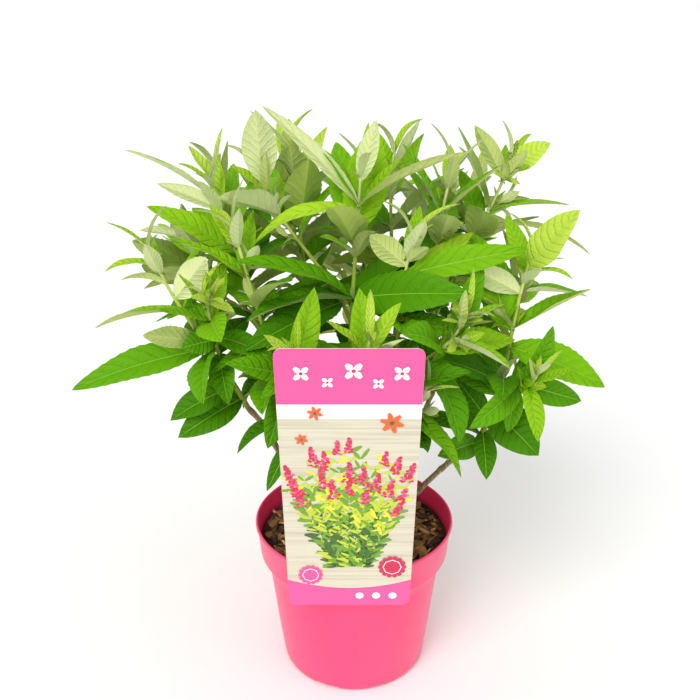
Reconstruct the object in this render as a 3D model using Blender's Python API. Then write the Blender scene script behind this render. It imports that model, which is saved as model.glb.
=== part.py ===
"""A young butterfly bush in a round pink nursery pot, with a picture card over its rim.

Sizes are in metres and +Z is up. The origin is on the flat underside of the pot.
The plant grows by one seeded rule: boughs leave a short trunk, each bough hands
over to a leafy stem 0.3 mm beyond its tip, and leaves stand on the stems in
crosswise pairs.
"""

import math
import random
from collections import namedtuple

import bmesh
import bpy
from mathutils import Matrix, Vector
from mathutils.bvhtree import BVHTree

MM = 0.001
CLEAR = 0.3 * MM

# Pot: a 17 cm nursery pot, thin wall, deep collar under the lip
POT_HEIGHT = 137 * MM
RIM_RADIUS = 85 * MM
COLLAR_HEIGHT = 30 * MM
COLLAR_FOOT_RADIUS = 81 * MM
BODY_TOP_RADIUS = 75 * MM
BASE_RADIUS = 63 * MM
WALL = 1.5 * MM
FLOOR = 2.2 * MM
POT_SIDES = 48
DRAIN_COUNT = 8
DRAIN_SIZE = Vector((22 * MM, 9 * MM, 7 * MM))

# Soil: damp compost under bark mulch
SOIL_TOP = 120 * MM
SOIL_BUMP = 1.6 * MM
SOIL_FLAT_RADIUS = 16 * MM

# Card: a flat plastic card that leans outward and hooks over the rim
CARD_THICK = 0.6 * MM
CARD_FOOT_Z = 106 * MM
CARD_HEIGHT = 231 * MM
CARD_TOP_WIDTH = 103 * MM
CARD_FOOT_WIDTH = 95 * MM
CARD_SHIFT = -4 * MM
CARD_CORNER = 6 * MM
CARD_LEAN = math.radians(6.7)
TONGUE_WIDTH = 22 * MM
TONGUE_FOOT_Z = 123 * MM

# Trunk: from the flat cut at the soil to its fork
TRUNK_FOOT = SOIL_TOP + CLEAR
TRUNK_RADII = (10.5, 8.2, 7.2, 6.6, 6.2, 5.6)
TRUNK_RISE = 9 * MM
TRUNK_LEAN = Vector((-0.03, -0.02, 1.0))
TRUNK_SIDES = 12

# Limbs
BOUGH_ROOT_RADIUS = 2.7 * MM
BOUGH_TIP_RADIUS = 2.0 * MM
BOUGH_NECK = 2.5 * MM
STEM_ROOT_RADIUS = 2.3 * MM
STEM_TIP_RADIUS = 0.9 * MM

# Leaves
SEED = 41
LEAF_SINK = 0.5 * MM
PETIOLE = 1.1 * MM
KEEL_SHARE = 1 / 70
KEEL_LEAST = 0.7 * MM
TEST_SKIN = 0.45 * MM
LONG_LEAF = 72 * MM
SHORT_LEAF = 42 * MM
BROAD_FOLD = math.radians(14)
FRONT = Vector((0, -0.93, 0.37))
WELD = 1.2e-6
THIN_RATIO = 0.55
MOST_TRIES = 12

# Bough rows: name, root height, root azimuth in degrees, tip in millimetres, and how
# steeply it ends, as rise over run
Bough = namedtuple("Bough", "name root_z azimuth tip rise")
BOUGHS = (
    Bough("left_front", 136, -157, (-83, -35, 256), 1.1),
    Bough("front", 136, -97, (3, -48, 206), 2.0),
    Bough("right", 136, -26, (95, -25, 214), 0.5),
    Bough("right_back", 136, 34, (70, 46, 235), 1.6),
    Bough("back", 136, 90, (4, 62, 236), 1.8),
    Bough("left_back", 136, 148, (-68, 46, 240), 1.5),
    Bough("left", 152, 178, (-54, 2, 248), 2.0),
    Bough("front_left", 152, -127, (-44, -42, 226), 1.8),
    Bough("front_right", 152, -63, (26, -32, 226), 2.2),
    Bough("right_upper", 152, 2, (56, 4, 250), 2.2),
    Bough("back_right", 152, 60, (34, 38, 256), 2.2),
    Bough("back_left", 152, 120, (-34, 36, 256), 2.2),
    Bough("leader", 165, -100, (-3, -8, 262), 3.0),
)

# Shoot rows: bough, fork share (0 is the main stem), tip in millimetres, leaf pairs,
# share of the stem below the first pair, longest leaf in millimetres, phase in degrees
Shoot = namedtuple("Shoot", "bough fork tip pairs bare leaf phase")
SHOOTS = (
    Shoot("leader", 0, (4, -25, 436), 4, 0.16, 84, 90),
    Shoot("leader", 0.30, (-72, 4, 432), 4, 0.36, 66, 60),
    Shoot("left_front", 0, (-150, -36, 386), 4, 0.06, 64, 10),
    Shoot("left_front", 0.22, (-108, -60, 356), 4, 0.25, 54, 70),
    Shoot("right", 0, (132, -26, 380), 4, 0.08, 66, 8),
    Shoot("right", 0.34, (132, -72, 300), 4, 0.30, 54, 80),
    Shoot("front_left", 0, (-88, -40, 402), 6, 0.12, 66, 30),
    Shoot("front_left", 0.24, (-40, -88, 322), 4, 0.30, 58, 85),
    Shoot("front_right", 0, (42, -38, 394), 5, 0.16, 74, 95),
    Shoot("front_right", 0.25, (78, -64, 340), 5, 0.25, 64, 20),
    Shoot("front", 0, (10, -88, 334), 5, 0.20, 70, 10),
    Shoot("front", 0.30, (48, -80, 290), 3, 0.35, 58, 60),
    Shoot("left", 0, (-106, -4, 424), 5, 0.16, 66, 80),
    Shoot("left", 0.26, (-130, 30, 380), 5, 0.30, 62, 25),
    Shoot("right_upper", 0, (74, 8, 434), 6, 0.20, 70, 0),
    Shoot("right_upper", 0.30, (120, 26, 438), 4, 0.30, 66, 20),
    Shoot("back_right", 0, (32, 54, 440), 6, 0.16, 78, 50),
    Shoot("back_right", 0.25, (76, 98, 396), 4, 0.30, 74, 10),
    Shoot("back_left", 0, (-52, 38, 444), 6, 0.16, 76, 20),
    Shoot("back_left", 0.25, (-58, 108, 402), 5, 0.30, 74, 70),
    Shoot("left_back", 0, (-112, 62, 424), 6, 0.12, 78, 60),
    Shoot("left_back", 0.24, (-152, 88, 352), 5, 0.25, 74, 15),
    Shoot("right_back", 0, (104, 82, 410), 6, 0.14, 70, 35),
    Shoot("right_back", 0.24, (146, 62, 336), 5, 0.25, 64, 75),
    Shoot("back", 0, (12, 114, 412), 6, 0.14, 82, 5),
    Shoot("back", 0.24, (-20, 150, 346), 5, 0.25, 76, 50),
    Shoot("back", 0.40, (62, 146, 344), 4, 0.25, 70, 85),
)

# Broad leaves that set the crown's outline: bough, shoot on it, share of the stem,
# tip and width in millimetres, droop in degrees, and how far the upper side turns to
# the front of the plant, from 1 to -1 where it turns its underside
Broad = namedtuple("Broad", "bough shoot share tip width droop look")
BROAD_LEAVES = (
    Broad("leader", 0, 0.43, (92, -50, 361), 35, 22, 0.75),
    Broad("leader", 0, 0.43, (-89, -50, 378), 24, 44, 0.25),
    Broad("leader", 0, 0.62, (15, -60, 403), 14, 46, -0.3),
    Broad("leader", 0, 0.62, (-25, -50, 397), 15, 30, 0.3),
    Broad("leader", 0, 0.75, (21, 2, 465), 34, 10, 0.9),
    Broad("leader", 0, 0.75, (-14, 12, 461), 28, 12, 0.8),
    Broad("leader", 0, 0.84, (-75, -30, 385), 18, 70, 0.1),
    Broad("leader", 0, 0.87, (-64, -40, 486), 15, 20, -0.5),
    Broad("leader", 0, 0.87, (83, -36, 454), 15, 30, -0.4),
    Broad("leader", 0, 0.97, (15, -34, 476), 15, 6, -0.8),
    Broad("leader", 1, 0.14, (-90, -55, 311), 30, 26, 0.7),
    Broad("leader", 1, 0.94, (-70, -20, 481), 27, 8, -0.85),
    Broad("left_front", 0, 0.38, (-209, -66, 285), 27, 30, 0.6),
    Broad("left_front", 0, 0.42, (-157, -80, 330), 17, 20, -0.7),
    Broad("left_front", 0, 0.44, (-123, -60, 345), 11, 10, 0.5),
    Broad("left_front", 0, 0.70, (-104, -60, 385), 24, 12, -0.95),
    Broad("left_front", 0, 0.78, (-169, -50, 365), 11, 60, -0.3),
    Broad("left_front", 0, 0.88, (-180, -50, 371), 13, 70, 0.2),
    Broad("left_front", 0, 0.14, (-140, -58, 256), 28, 24, 0.5),
    Broad("left_front", 0, 0.06, (-127, -74, 247), 27, 24, 0.8),
    Broad("left_front", 1, 0.45, (-130, -44, 323), 20, 20, 0.7),
    Broad("left_front", 1, 0.72, (-92, -92, 333), 26, 30, 0.9),
    Broad("left", 0, 0.93, (-175, 18, 447), 19, 24, -0.3),
    Broad("left", 0, 0.90, (-147, 0, 427), 14, 16, -0.5),
    Broad("left", 0, 0.70, (-153, -20, 412), 21, 30, 0.5),
    Broad("left", 0, 0.50, (-54, -25, 336), 22, 24, 0.6),
    Broad("left", 1, 0.93, (-175, 44, 378), 16, 20, -0.4),
    Broad("left_back", 1, 0.30, (-168, 40, 300), 15, 30, 0.4),
    Broad("left_back", 1, 0.60, (-162, 60, 295), 20, 20, 0.7),
    Broad("back_left", 0, 0.82, (-42, 22, 457), 29, 8, -0.8),
    Broad("front_left", 0, 0.20, (-87, -75, 302), 22, 36, 0.6),
    Broad("front_left", 0, 0.04, (-68, -66, 199), 14, 30, 0.5),
    Broad("right", 0, 0.54, (191, -45, 278), 31, 32, 0.6),
    Broad("right", 0, 0.38, (136, -55, 307), 16, 20, 0.4),
    Broad("right", 0, 0.36, (42, -42, 305), 23, 26, 0.4),
    Broad("right", 0, 0.30, (65, 8, 295), 28, 20, 0.7),
    Broad("right", 0, 0.22, (142, -58, 226), 36, 34, 0.9),
    Broad("right", 0, 0.16, (76, -12, 277), 21, 20, 0.7),
    Broad("right", 0, 0.12, (52, -56, 266), 16, 34, 0.2),
    Broad("right", 0, 0.10, (102, -62, 207), 19, 30, 0.9),
    Broad("right", 0, 0.04, (63, -62, 228), 22, 30, 0.8),
    Broad("right", 0, 0.62, (89, -2, 388), 32, 12, 0.85),
    Broad("right", 0, 0.80, (81, -42, 372), 20, 24, -0.7),
    Broad("right", 0, 0.86, (156, -55, 367), 11, 80, 0.2),
    Broad("right", 0, 0.92, (166, -40, 415), 28, 10, 0.8),
    Broad("right", 0, 0.92, (108, -30, 405), 14, 14, 0.6),
    Broad("right_upper", 1, 0.60, (190, 28, 362), 15, 54, -0.2),
    Broad("right_upper", 1, 0.62, (82, 40, 429), 19, 12, 0.6),
    Broad("right_upper", 1, 0.90, (88, 5, 467), 15, 14, -0.6),
    Broad("right_upper", 1, 0.94, (151, 18, 448), 21, 18, 0.5),
    Broad("back_right", 1, 0.83, (41, 80, 423), 21, 16, 0.5),
    Broad("back_right", 1, 0.83, (116, 80, 416), 14, 20, -0.3),
    Broad("back_right", 1, 0.78, (140, 60, 408), 16, 34, -0.3),
    Broad("front_right", 0, 0.58, (74, -60, 326), 20, 26, 0.7),
    Broad("front_right", 0, 0.82, (127, -36, 384), 22, 24, 0.8),
    Broad("front_right", 0, 0.86, (10, -52, 399), 19, 26, -0.8),
    Broad("front_right", 0, 0.88, (54, -52, 396), 11, 14, -0.6),
)

Leaf = namedtuple("Leaf", "root along face length width droop fold twist")


def clear_scene():
    """Empty the scene of whatever it opened with."""
    for obj in list(bpy.data.objects):
        bpy.data.objects.remove(obj, do_unlink=True)


def srgb(hex_text):
    """Linear colour of a hex colour as it is seen."""
    values = [int(hex_text[i:i + 2], 16) / 255 for i in (0, 2, 4)]
    return [v / 12.92 if v <= 0.04045 else ((v + 0.055) / 1.055) ** 2.4 for v in values]


def material(name, hex_text, roughness):
    """A plain Principled material."""
    made = bpy.data.materials.new(name)
    made.use_nodes = True
    shader = made.node_tree.nodes["Principled BSDF"]
    shader.inputs["Base Color"].default_value = (*srgb(hex_text), 1.0)
    shader.inputs["Roughness"].default_value = roughness
    shader.inputs["Metallic"].default_value = 0.0
    return made


def add_object(name, verts, faces, finish=None):
    """An object from points and faces, cut into triangles that are turned outward."""
    mesh = bpy.data.meshes.new(name)
    mesh.from_pydata([tuple(v) for v in verts], [], faces)
    shape = bmesh.new()
    shape.from_mesh(mesh)
    bmesh.ops.triangulate(shape, faces=shape.faces)
    bmesh.ops.recalc_face_normals(shape, faces=shape.faces)
    shape.to_mesh(mesh)
    shape.free()
    obj = bpy.data.objects.new(name, mesh)
    bpy.context.scene.collection.objects.link(obj)
    if finish is not None:
        mesh.materials.append(finish)
    return obj


def shade_round(obj, degrees=40):
    """Smooth shading, with edges kept sharp above an angle."""
    obj.data.shade_smooth()
    obj.data.set_sharp_from_angle(angle=math.radians(degrees))


def turned(name, profile, sides, finish):
    """A solid turned about the vertical axis from a closed outline of (radius, height)."""
    shape = bmesh.new()
    row = [shape.verts.new((r, 0, z)) for r, z in profile]
    edges = [shape.edges.new((a, b)) for a, b in zip(row, row[1:])]
    bmesh.ops.spin(shape, geom=row + edges, axis=(0, 0, 1), cent=(0, 0, 0), steps=sides,
                   angle=2 * math.pi, use_merge=True, use_duplicate=False)
    bmesh.ops.remove_doubles(shape, verts=shape.verts, dist=1e-6)
    bmesh.ops.recalc_face_normals(shape, faces=shape.faces)
    mesh = bpy.data.meshes.new(name)
    shape.to_mesh(mesh)
    shape.free()
    obj = bpy.data.objects.new(name, mesh)
    bpy.context.scene.collection.objects.link(obj)
    mesh.materials.append(finish)
    return obj


def pot_outline():
    """Outline of the pot wall, from the middle of the floor outward, up and back inside."""
    collar_z = POT_HEIGHT - COLLAR_HEIGHT
    lip = 2.2 * MM
    inner_rim = RIM_RADIUS - WALL - 0.6 * MM
    return [
        (0, 0), (BASE_RADIUS - 5 * MM, 0), (BASE_RADIUS - 1.4 * MM, 1.2 * MM),
        (BASE_RADIUS, 4.5 * MM), (BODY_TOP_RADIUS, collar_z - 4 * MM),
        (COLLAR_FOOT_RADIUS - 1.0 * MM, collar_z), (COLLAR_FOOT_RADIUS, collar_z + 1.4 * MM),
        (RIM_RADIUS - 1.2 * MM, POT_HEIGHT - lip - 1 * MM), (RIM_RADIUS, POT_HEIGHT - lip),
        (RIM_RADIUS - 0.6 * MM, POT_HEIGHT - 0.5 * MM), (RIM_RADIUS - 1.3 * MM, POT_HEIGHT),
        (inner_rim, POT_HEIGHT - 0.8 * MM),
        (COLLAR_FOOT_RADIUS - WALL, collar_z + 0.4 * MM),
        (BODY_TOP_RADIUS - WALL, collar_z - 4 * MM),
        (BASE_RADIUS - WALL, FLOOR + 3 * MM), (BASE_RADIUS - WALL - 3 * MM, FLOOR), (0, FLOOR),
    ]


def build_pot():
    """The pot, with drain notches cut through the corner of its foot."""
    pot = turned("pot", pot_outline(), POT_SIDES, material("pot_pink", "FE5F8D", 0.35))
    cutter = bmesh.new()
    for i in range(DRAIN_COUNT):
        turn = Matrix.Rotation(2 * math.pi * (i + 0.5) / DRAIN_COUNT, 4, "Z")
        place = turn @ Matrix.Translation((0, BASE_RADIUS - 0.5 * MM, 0))
        size = Matrix.Diagonal((*DRAIN_SIZE, 1))
        bmesh.ops.create_cube(cutter, size=1, matrix=place @ size)
    mesh = bpy.data.meshes.new("drain_cutter")
    cutter.to_mesh(mesh)
    cutter.free()
    tool = bpy.data.objects.new("drain_cutter", mesh)
    bpy.context.scene.collection.objects.link(tool)
    cut = pot.modifiers.new("drains", "BOOLEAN")
    cut.object = tool
    cut.operation = "DIFFERENCE"
    cut.solver = "EXACT"
    settle_modifiers(pot)
    bpy.data.objects.remove(tool, do_unlink=True)
    shade_round(pot)


def settle_modifiers(obj):
    """Apply the modifiers of an object."""
    bpy.context.view_layer.update()
    graph = bpy.context.evaluated_depsgraph_get()
    settled = bpy.data.meshes.new_from_object(obj.evaluated_get(graph))
    obj.modifiers.clear()
    old = obj.data
    obj.data = settled
    bpy.data.meshes.remove(old)


def soil_radius(z):
    """Radius of the soil at a height, clear of the pot's inner wall."""
    collar_z = POT_HEIGHT - COLLAR_HEIGHT
    inner = BASE_RADIUS - WALL
    share = (z - FLOOR - 3 * MM) / (collar_z - 4 * MM - FLOOR - 3 * MM)
    return inner + share * (BODY_TOP_RADIUS - BASE_RADIUS) - 2 * CLEAR


def build_soil():
    """The root ball with its mulch: a flat seat for the trunk and a lumpy top around it."""
    noise = random.Random(SEED)
    collar_z = POT_HEIGHT - COLLAR_HEIGHT
    top_r = (COLLAR_FOOT_RADIUS - WALL + RIM_RADIUS - WALL) / 2 - 2.0 * MM
    side = [
        (soil_radius(FLOOR + 3 * MM) - 3 * MM, FLOOR + CLEAR),
        (soil_radius(FLOOR + 4 * MM), FLOOR + 4 * MM),
        (BODY_TOP_RADIUS - WALL - 2 * CLEAR, collar_z - 3.7 * MM),
        (COLLAR_FOOT_RADIUS - WALL - 1.2 * MM, collar_z + 1.6 * MM),
        (top_r, SOIL_TOP - 1.5 * MM),
    ]
    sides = POT_SIDES
    verts, faces = [], []
    for r, z in side:
        verts += [polar(r, 2 * math.pi * k / sides, z) for k in range(sides)]
    for share in (0.86, 0.68, 0.48):
        for k in range(sides):
            bump = noise.uniform(-1, 1) * SOIL_BUMP
            verts.append(polar(top_r * share, 2 * math.pi * k / sides, SOIL_TOP + bump))
    verts += [polar(SOIL_FLAT_RADIUS, 2 * math.pi * k / sides, SOIL_TOP) for k in range(sides)]
    rings = len(verts) // sides
    for ring in range(rings - 1):
        faces += ring_faces(ring * sides, (ring + 1) * sides, sides)
    faces.append(tuple(range(sides - 1, -1, -1)))
    faces.append(tuple(range((rings - 1) * sides, rings * sides)))
    soil = add_object("soil", verts, faces, material("bark_mulch", "3A2215", 0.95))
    shade_round(soil, 20)


def polar(radius, angle, z):
    """A point from its radius, angle and height."""
    return Vector((radius * math.cos(angle), radius * math.sin(angle), z))


def ring_faces(low, high, sides):
    """Quads between two rings of points."""
    return [(low + k, low + (k + 1) % sides, high + (k + 1) % sides, high + k)
            for k in range(sides)]


def card_point(x, up, back=0.0):
    """A point on the card: across it, up along it from its foot, and back from its front."""
    inner_y = -(RIM_RADIUS + CLEAR) + (POT_HEIGHT - 4 * MM - CARD_FOOT_Z) * math.tan(CARD_LEAN)
    front = Vector((0, -math.cos(CARD_LEAN), -math.sin(CARD_LEAN)))
    foot = Vector((0, inner_y, CARD_FOOT_Z)) + front * CARD_THICK
    rise = Vector((0, -math.sin(CARD_LEAN), math.cos(CARD_LEAN)))
    return foot + Vector((x + CARD_SHIFT, 0, 0)) + rise * up - front * back


def card_outline():
    """Outline of the card, a tapered sheet with round corners."""
    points = []
    corners = ((1, 0, -90), (1, 1, 0), (-1, 1, 90), (-1, 0, 180))
    for side, top, start in corners:
        half = (CARD_TOP_WIDTH if top else CARD_FOOT_WIDTH) / 2 - CARD_CORNER
        level = CARD_HEIGHT - CARD_CORNER if top else CARD_CORNER
        for step in range(5):
            angle = math.radians(start + 22.5 * step)
            points.append((side * half + CARD_CORNER * math.cos(angle),
                           level + CARD_CORNER * math.sin(angle)))
    return points


def build_card():
    """The card with a tongue that passes over the rim and down inside the wall."""
    outline = card_outline()
    count = len(outline)
    verts = [card_point(x, up) for x, up in outline]
    verts += [card_point(x, up, CARD_THICK) for x, up in outline]
    faces = [tuple(range(count)), tuple(range(2 * count - 1, count - 1, -1))]
    faces += ring_faces(0, count, count)
    card = add_object("label_card", verts, faces, material("printed_card", "F08AB0", 0.4))
    tongue = build_tongue()
    join = card.modifiers.new("tongue", "BOOLEAN")
    join.object = tongue
    join.operation = "UNION"
    join.solver = "EXACT"
    settle_modifiers(card)
    bpy.data.objects.remove(tongue, do_unlink=True)


def build_tongue():
    """The bent strip behind the card."""
    inside_y = -(RIM_RADIUS - WALL - 3.3 * MM)
    leave = (POT_HEIGHT + 9 * MM - CARD_FOOT_Z) / math.cos(CARD_LEAN)
    start = card_point(0, leave, CARD_THICK / 2)
    foot_y = inside_y + 1.4 * MM
    line = [Vector((start.y, start.z)), Vector((inside_y - 2.2 * MM, POT_HEIGHT + 3.4 * MM)),
            Vector((inside_y, POT_HEIGHT - 1 * MM)), Vector((foot_y, TONGUE_FOOT_Z))]
    verts = []
    for k, spot in enumerate(line):
        ahead = line[min(k + 1, 3)] - line[max(k - 1, 0)]
        across = Vector((-ahead.y, ahead.x)).normalized() * CARD_THICK / 2
        for x in (CARD_SHIFT - TONGUE_WIDTH / 2, CARD_SHIFT + TONGUE_WIDTH / 2):
            for sign in (-1, 1):
                flat = spot + across * sign
                verts.append(Vector((x, flat.x, flat.y)))
    faces = [(0, 1, 3, 2), (12, 14, 15, 13)]
    for k in range(3):
        a, b = 4 * k, 4 * k + 4
        faces += [(a, a + 2, b + 2, b), (a + 1, b + 1, b + 3, a + 3),
                  (a, b, b + 1, a + 1), (a + 2, a + 3, b + 3, b + 2)]
    return add_object("tongue", verts, faces)


def cubic(a, b, c, d, t):
    """A point on a cubic curve."""
    s = 1 - t
    return a * s ** 3 + b * (3 * s * s * t) + c * (3 * s * t * t) + d * t ** 3


def tube(points, radii, sides):
    """Points and faces of a closed tube with flat ends along a line of points."""
    verts, faces = [], []
    side = (points[1] - points[0]).cross(Vector((0.31, 0.87, 0.05))).normalized()
    for k, spot in enumerate(points):
        ahead = (points[min(k + 1, len(points) - 1)] - points[max(k - 1, 0)]).normalized()
        side = (side - ahead * side.dot(ahead)).normalized()
        other = ahead.cross(side)
        for j in range(sides):
            angle = 2 * math.pi * j / sides
            verts.append(spot + (side * math.cos(angle) + other * math.sin(angle)) * radii[k])
        if k:
            faces += ring_faces((k - 1) * sides, k * sides, sides)
    faces.append(tuple(range(sides - 1, -1, -1)))
    faces.append(tuple(range(len(verts) - sides, len(verts))))
    return verts, faces


def trunk_centre(z):
    """The trunk's axis at a height."""
    rise = z - TRUNK_FOOT
    return Vector((TRUNK_LEAN.x * rise, TRUNK_LEAN.y * rise, z))


def trunk_radius(z):
    """The trunk's radius at a height."""
    place = min(max((z - TRUNK_FOOT) / TRUNK_RISE, 0), len(TRUNK_RADII) - 1.001)
    low = int(place)
    share = place - low
    return (TRUNK_RADII[low] * (1 - share) + TRUNK_RADII[low + 1] * share) * MM


def build_trunk(bark):
    """The short trunk with its root flare."""
    verts, faces = [], []
    for k, radius in enumerate(TRUNK_RADII):
        centre = trunk_centre(TRUNK_FOOT + k * TRUNK_RISE)
        for j in range(TRUNK_SIDES):
            angle = 2 * math.pi * j / TRUNK_SIDES
            verts.append(centre + polar(radius * MM, angle, 0))
        if k:
            faces += ring_faces((k - 1) * TRUNK_SIDES, k * TRUNK_SIDES, TRUNK_SIDES)
    faces.append(tuple(range(TRUNK_SIDES - 1, -1, -1)))
    faces.append(tuple(range(len(verts) - TRUNK_SIDES, len(verts))))
    shade_round(add_object("trunk", verts, faces, bark))


def bough_line(row):
    """The centre line of a bough, out of the trunk's side or top and then up to its tip."""
    tip = Vector(row.tip) * MM
    top = TRUNK_FOOT + TRUNK_RISE * (len(TRUNK_RADII) - 1)
    if row.root_z * MM + BOUGH_ROOT_RADIUS < top:
        out = polar(1, math.radians(row.azimuth), 0)
        skin = trunk_radius(row.root_z * MM - BOUGH_ROOT_RADIUS)
        start = trunk_centre(row.root_z * MM) + out * (skin + CLEAR)
    else:
        out = Vector((0, 0, 1))
        start = trunk_centre(top + CLEAR)
    neck = start + out * BOUGH_NECK
    reach = (tip - neck).length
    first = neck + out * reach * 0.28
    level = math.hypot(tip.x, tip.y)
    lift = Vector((tip.x, tip.y, max(row.rise * level, 20 * MM))).normalized()
    last = tip - lift * reach * 0.3
    return [start] + [cubic(neck, first, last, tip, k / 5) for k in range(6)]


def bough_radii(count):
    """Radii along a bough, from its root to its tip."""
    return [BOUGH_ROOT_RADIUS + (BOUGH_TIP_RADIUS - BOUGH_ROOT_RADIUS) * k / (count - 1)
            for k in range(count)]


def stem_line(start, heading, tip, steps=7):
    """The centre line of a leafy stem: it leaves along a heading and turns up to its tip."""
    reach = (tip - start).length
    out = Vector((tip.x, tip.y, 0))
    lift = (out.normalized() * 0.28 + Vector((0, 0, 1))).normalized()
    first = start + heading.normalized() * reach * 0.36
    last = tip - lift * reach * 0.34
    return [cubic(start, first, last, tip, k / steps) for k in range(steps + 1)]


def along(points, share):
    """The point and the direction at a share of the way along a line of points."""
    place = min(max(share, 0), 0.9999) * (len(points) - 1)
    low = int(place)
    rest = place - low
    spot = points[low].lerp(points[low + 1], rest)
    before = (points[low + 1] - points[max(low - 1, 0)]).normalized()
    after = (points[min(low + 2, len(points) - 1)] - points[low]).normalized()
    return spot, before.lerp(after, rest).normalized()


def stem_start(line, tip):
    """Where a main stem starts beyond its bough's tip, and its first heading."""
    bough_way = (line[-1] - line[-2]).normalized()
    heading = (bough_way + (tip - line[-1]).normalized() + Vector((0, 0, 0.5))).normalized()
    turn = math.sqrt(max(0.0, 1 - bough_way.dot(heading) ** 2))
    gap = CLEAR + STEM_ROOT_RADIUS * turn
    return line[-1] + bough_way * gap, heading


def grow_stems():
    """Every stem: bough name to its list of (shoot row, centre line, radii)."""
    stems = {}
    for row in SHOOTS:
        bough = next(b for b in BOUGHS if b.name == row.bough)
        line = bough_line(bough)
        tip = Vector(row.tip) * MM
        if row.fork == 0:
            points = stem_line(*stem_start(line, tip), tip)
            root = STEM_ROOT_RADIUS
        else:
            main = stems[row.bough][0][1]
            start, heading = along(main, row.fork)
            aim = heading + (tip - start).normalized() * 1.4
            points = stem_line(start, aim, tip)
            root = STEM_ROOT_RADIUS * 0.8
        radii = [root + (STEM_TIP_RADIUS - root) * k / (len(points) - 1)
                 for k in range(len(points))]
        stems.setdefault(row.bough, []).append((row, points, radii))
    return stems


def pair_share(row, index):
    """Where a pair of leaves stands along its stem: closer together toward the tip."""
    step = index / row.pairs
    return row.bare + (0.985 - row.bare) * (1 - (1 - step) ** 1.35)


def leaf_at(row, points, index, side, dice):
    """One leaf of a pair, from its place on the shoot."""
    share = pair_share(row, index)
    age = index / max(row.pairs - 1, 1)
    spot, ahead = along(points, share)
    turn = math.radians(row.phase + 90 * index + 180 * side + dice.uniform(-9, 9))
    spread = math.radians(76 - 44 * age ** 1.3 + dice.uniform(-9, 9))
    size = 0.70 + 0.42 * math.sin(math.pi * min(0.12 + 0.74 * age, 1)) - 0.28 * age ** 3
    length = row.leaf * MM * size * dice.uniform(0.88, 1.1)
    width = length * (0.42 - 0.10 * age + dice.uniform(-0.03, 0.03))
    droop = math.radians(46 - 44 * age + dice.uniform(-14, 14))
    fold = math.radians(16 + dice.uniform(-6, 10))
    twist = math.radians(dice.uniform(-22, 22))
    return leaf_on(spot, ahead, turn, spread, length, width, droop, fold, twist)


def leaf_on(spot, ahead, turn, spread, length, width, droop, fold, twist):
    """A leaf from its stem's direction, its turn about the stem and its spread from it."""
    level = Vector((1, 0, 0)) - ahead * ahead.x
    level.normalize()
    other = ahead.cross(level)
    out = level * math.cos(turn) + other * math.sin(turn)
    heading = ahead * math.cos(spread) + out * math.sin(spread)
    face = ahead * math.sin(spread) - out * math.cos(spread)
    return Leaf(spot - heading * LEAF_SINK, heading, face, length, width, droop, fold, twist)


def leaf_to(spot, ahead, tip, width, droop, look):
    """A leaf from its stem to a tip, bent down on the way and turned to the front."""
    chord = tip - spot
    way = chord.normalized()
    upper = ahead * (1 - abs(look)) + FRONT * look
    face = (upper - way * upper.dot(way)).normalized()
    half = max(droop / 2, 1e-3)
    length = chord.length * half / math.sin(half)
    heading = way * math.cos(half) + face * math.sin(half)
    upper = face * math.cos(half) - way * math.sin(half)
    root = spot - heading * LEAF_SINK
    return Leaf(root, heading, upper, length, width, droop, BROAD_FOLD, 0.0)


def leaf_axes(leaf, t):
    """Middle, sideways and upward directions of a leaf at a share of its length."""
    bend = leaf.droop if abs(leaf.droop) > 1e-4 else 1e-4
    angle = bend * t
    middle = leaf.root + leaf.along * (leaf.length * math.sin(angle) / bend)
    middle -= leaf.face * (leaf.length * (1 - math.cos(angle)) / bend)
    ahead = leaf.along * math.cos(angle) - leaf.face * math.sin(angle)
    up = leaf.face * math.cos(angle) + leaf.along * math.sin(angle)
    side = ahead.cross(up)
    roll = leaf.twist * t
    return (middle, side * math.cos(roll) + up * math.sin(roll),
            up * math.cos(roll) - side * math.sin(roll))


def leaf_half_width(leaf, t):
    """Half the width of the blade at a share of its length."""
    blade = math.sin(math.pi * max(t, 0.0) ** 0.85) ** 0.8 if t < 1 else 0.0
    return max(leaf.width / 2 * blade, PETIOLE * (1 - t) ** 2)


def leaf_stations(leaf):
    """Shares of the length where the blade has a section."""
    if leaf.length > LONG_LEAF:
        return (0.0, 0.22, 0.48, 0.77)
    return (0.0, 0.30, 0.66) if leaf.length > SHORT_LEAF else (0.0, 0.42)


def leaf_solid(leaf):
    """Points and faces of the closed blade: two edges and a keel under the midrib."""
    verts, faces = [], []
    keel = max(leaf.length * KEEL_SHARE, KEEL_LEAST)
    for t in leaf_stations(leaf):
        middle, side, up = leaf_axes(leaf, t)
        half = leaf_half_width(leaf, t)
        lift = half * math.sin(leaf.fold) + keel * 0.25
        reach = half * math.cos(leaf.fold)
        verts += [middle - side * reach + up * lift, middle + side * reach + up * lift,
                  middle - up * keel * 0.75]
    for low in range(0, len(verts) - 3, 3):
        faces += ring_faces(low, low + 3, 3)
    end = len(verts)
    verts.append(leaf_axes(leaf, 1.0)[0])
    faces += [(0, 2, 1), (end - 3, end - 2, end), (end - 2, end - 1, end), (end - 1, end - 3, end)]
    return verts, faces


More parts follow.
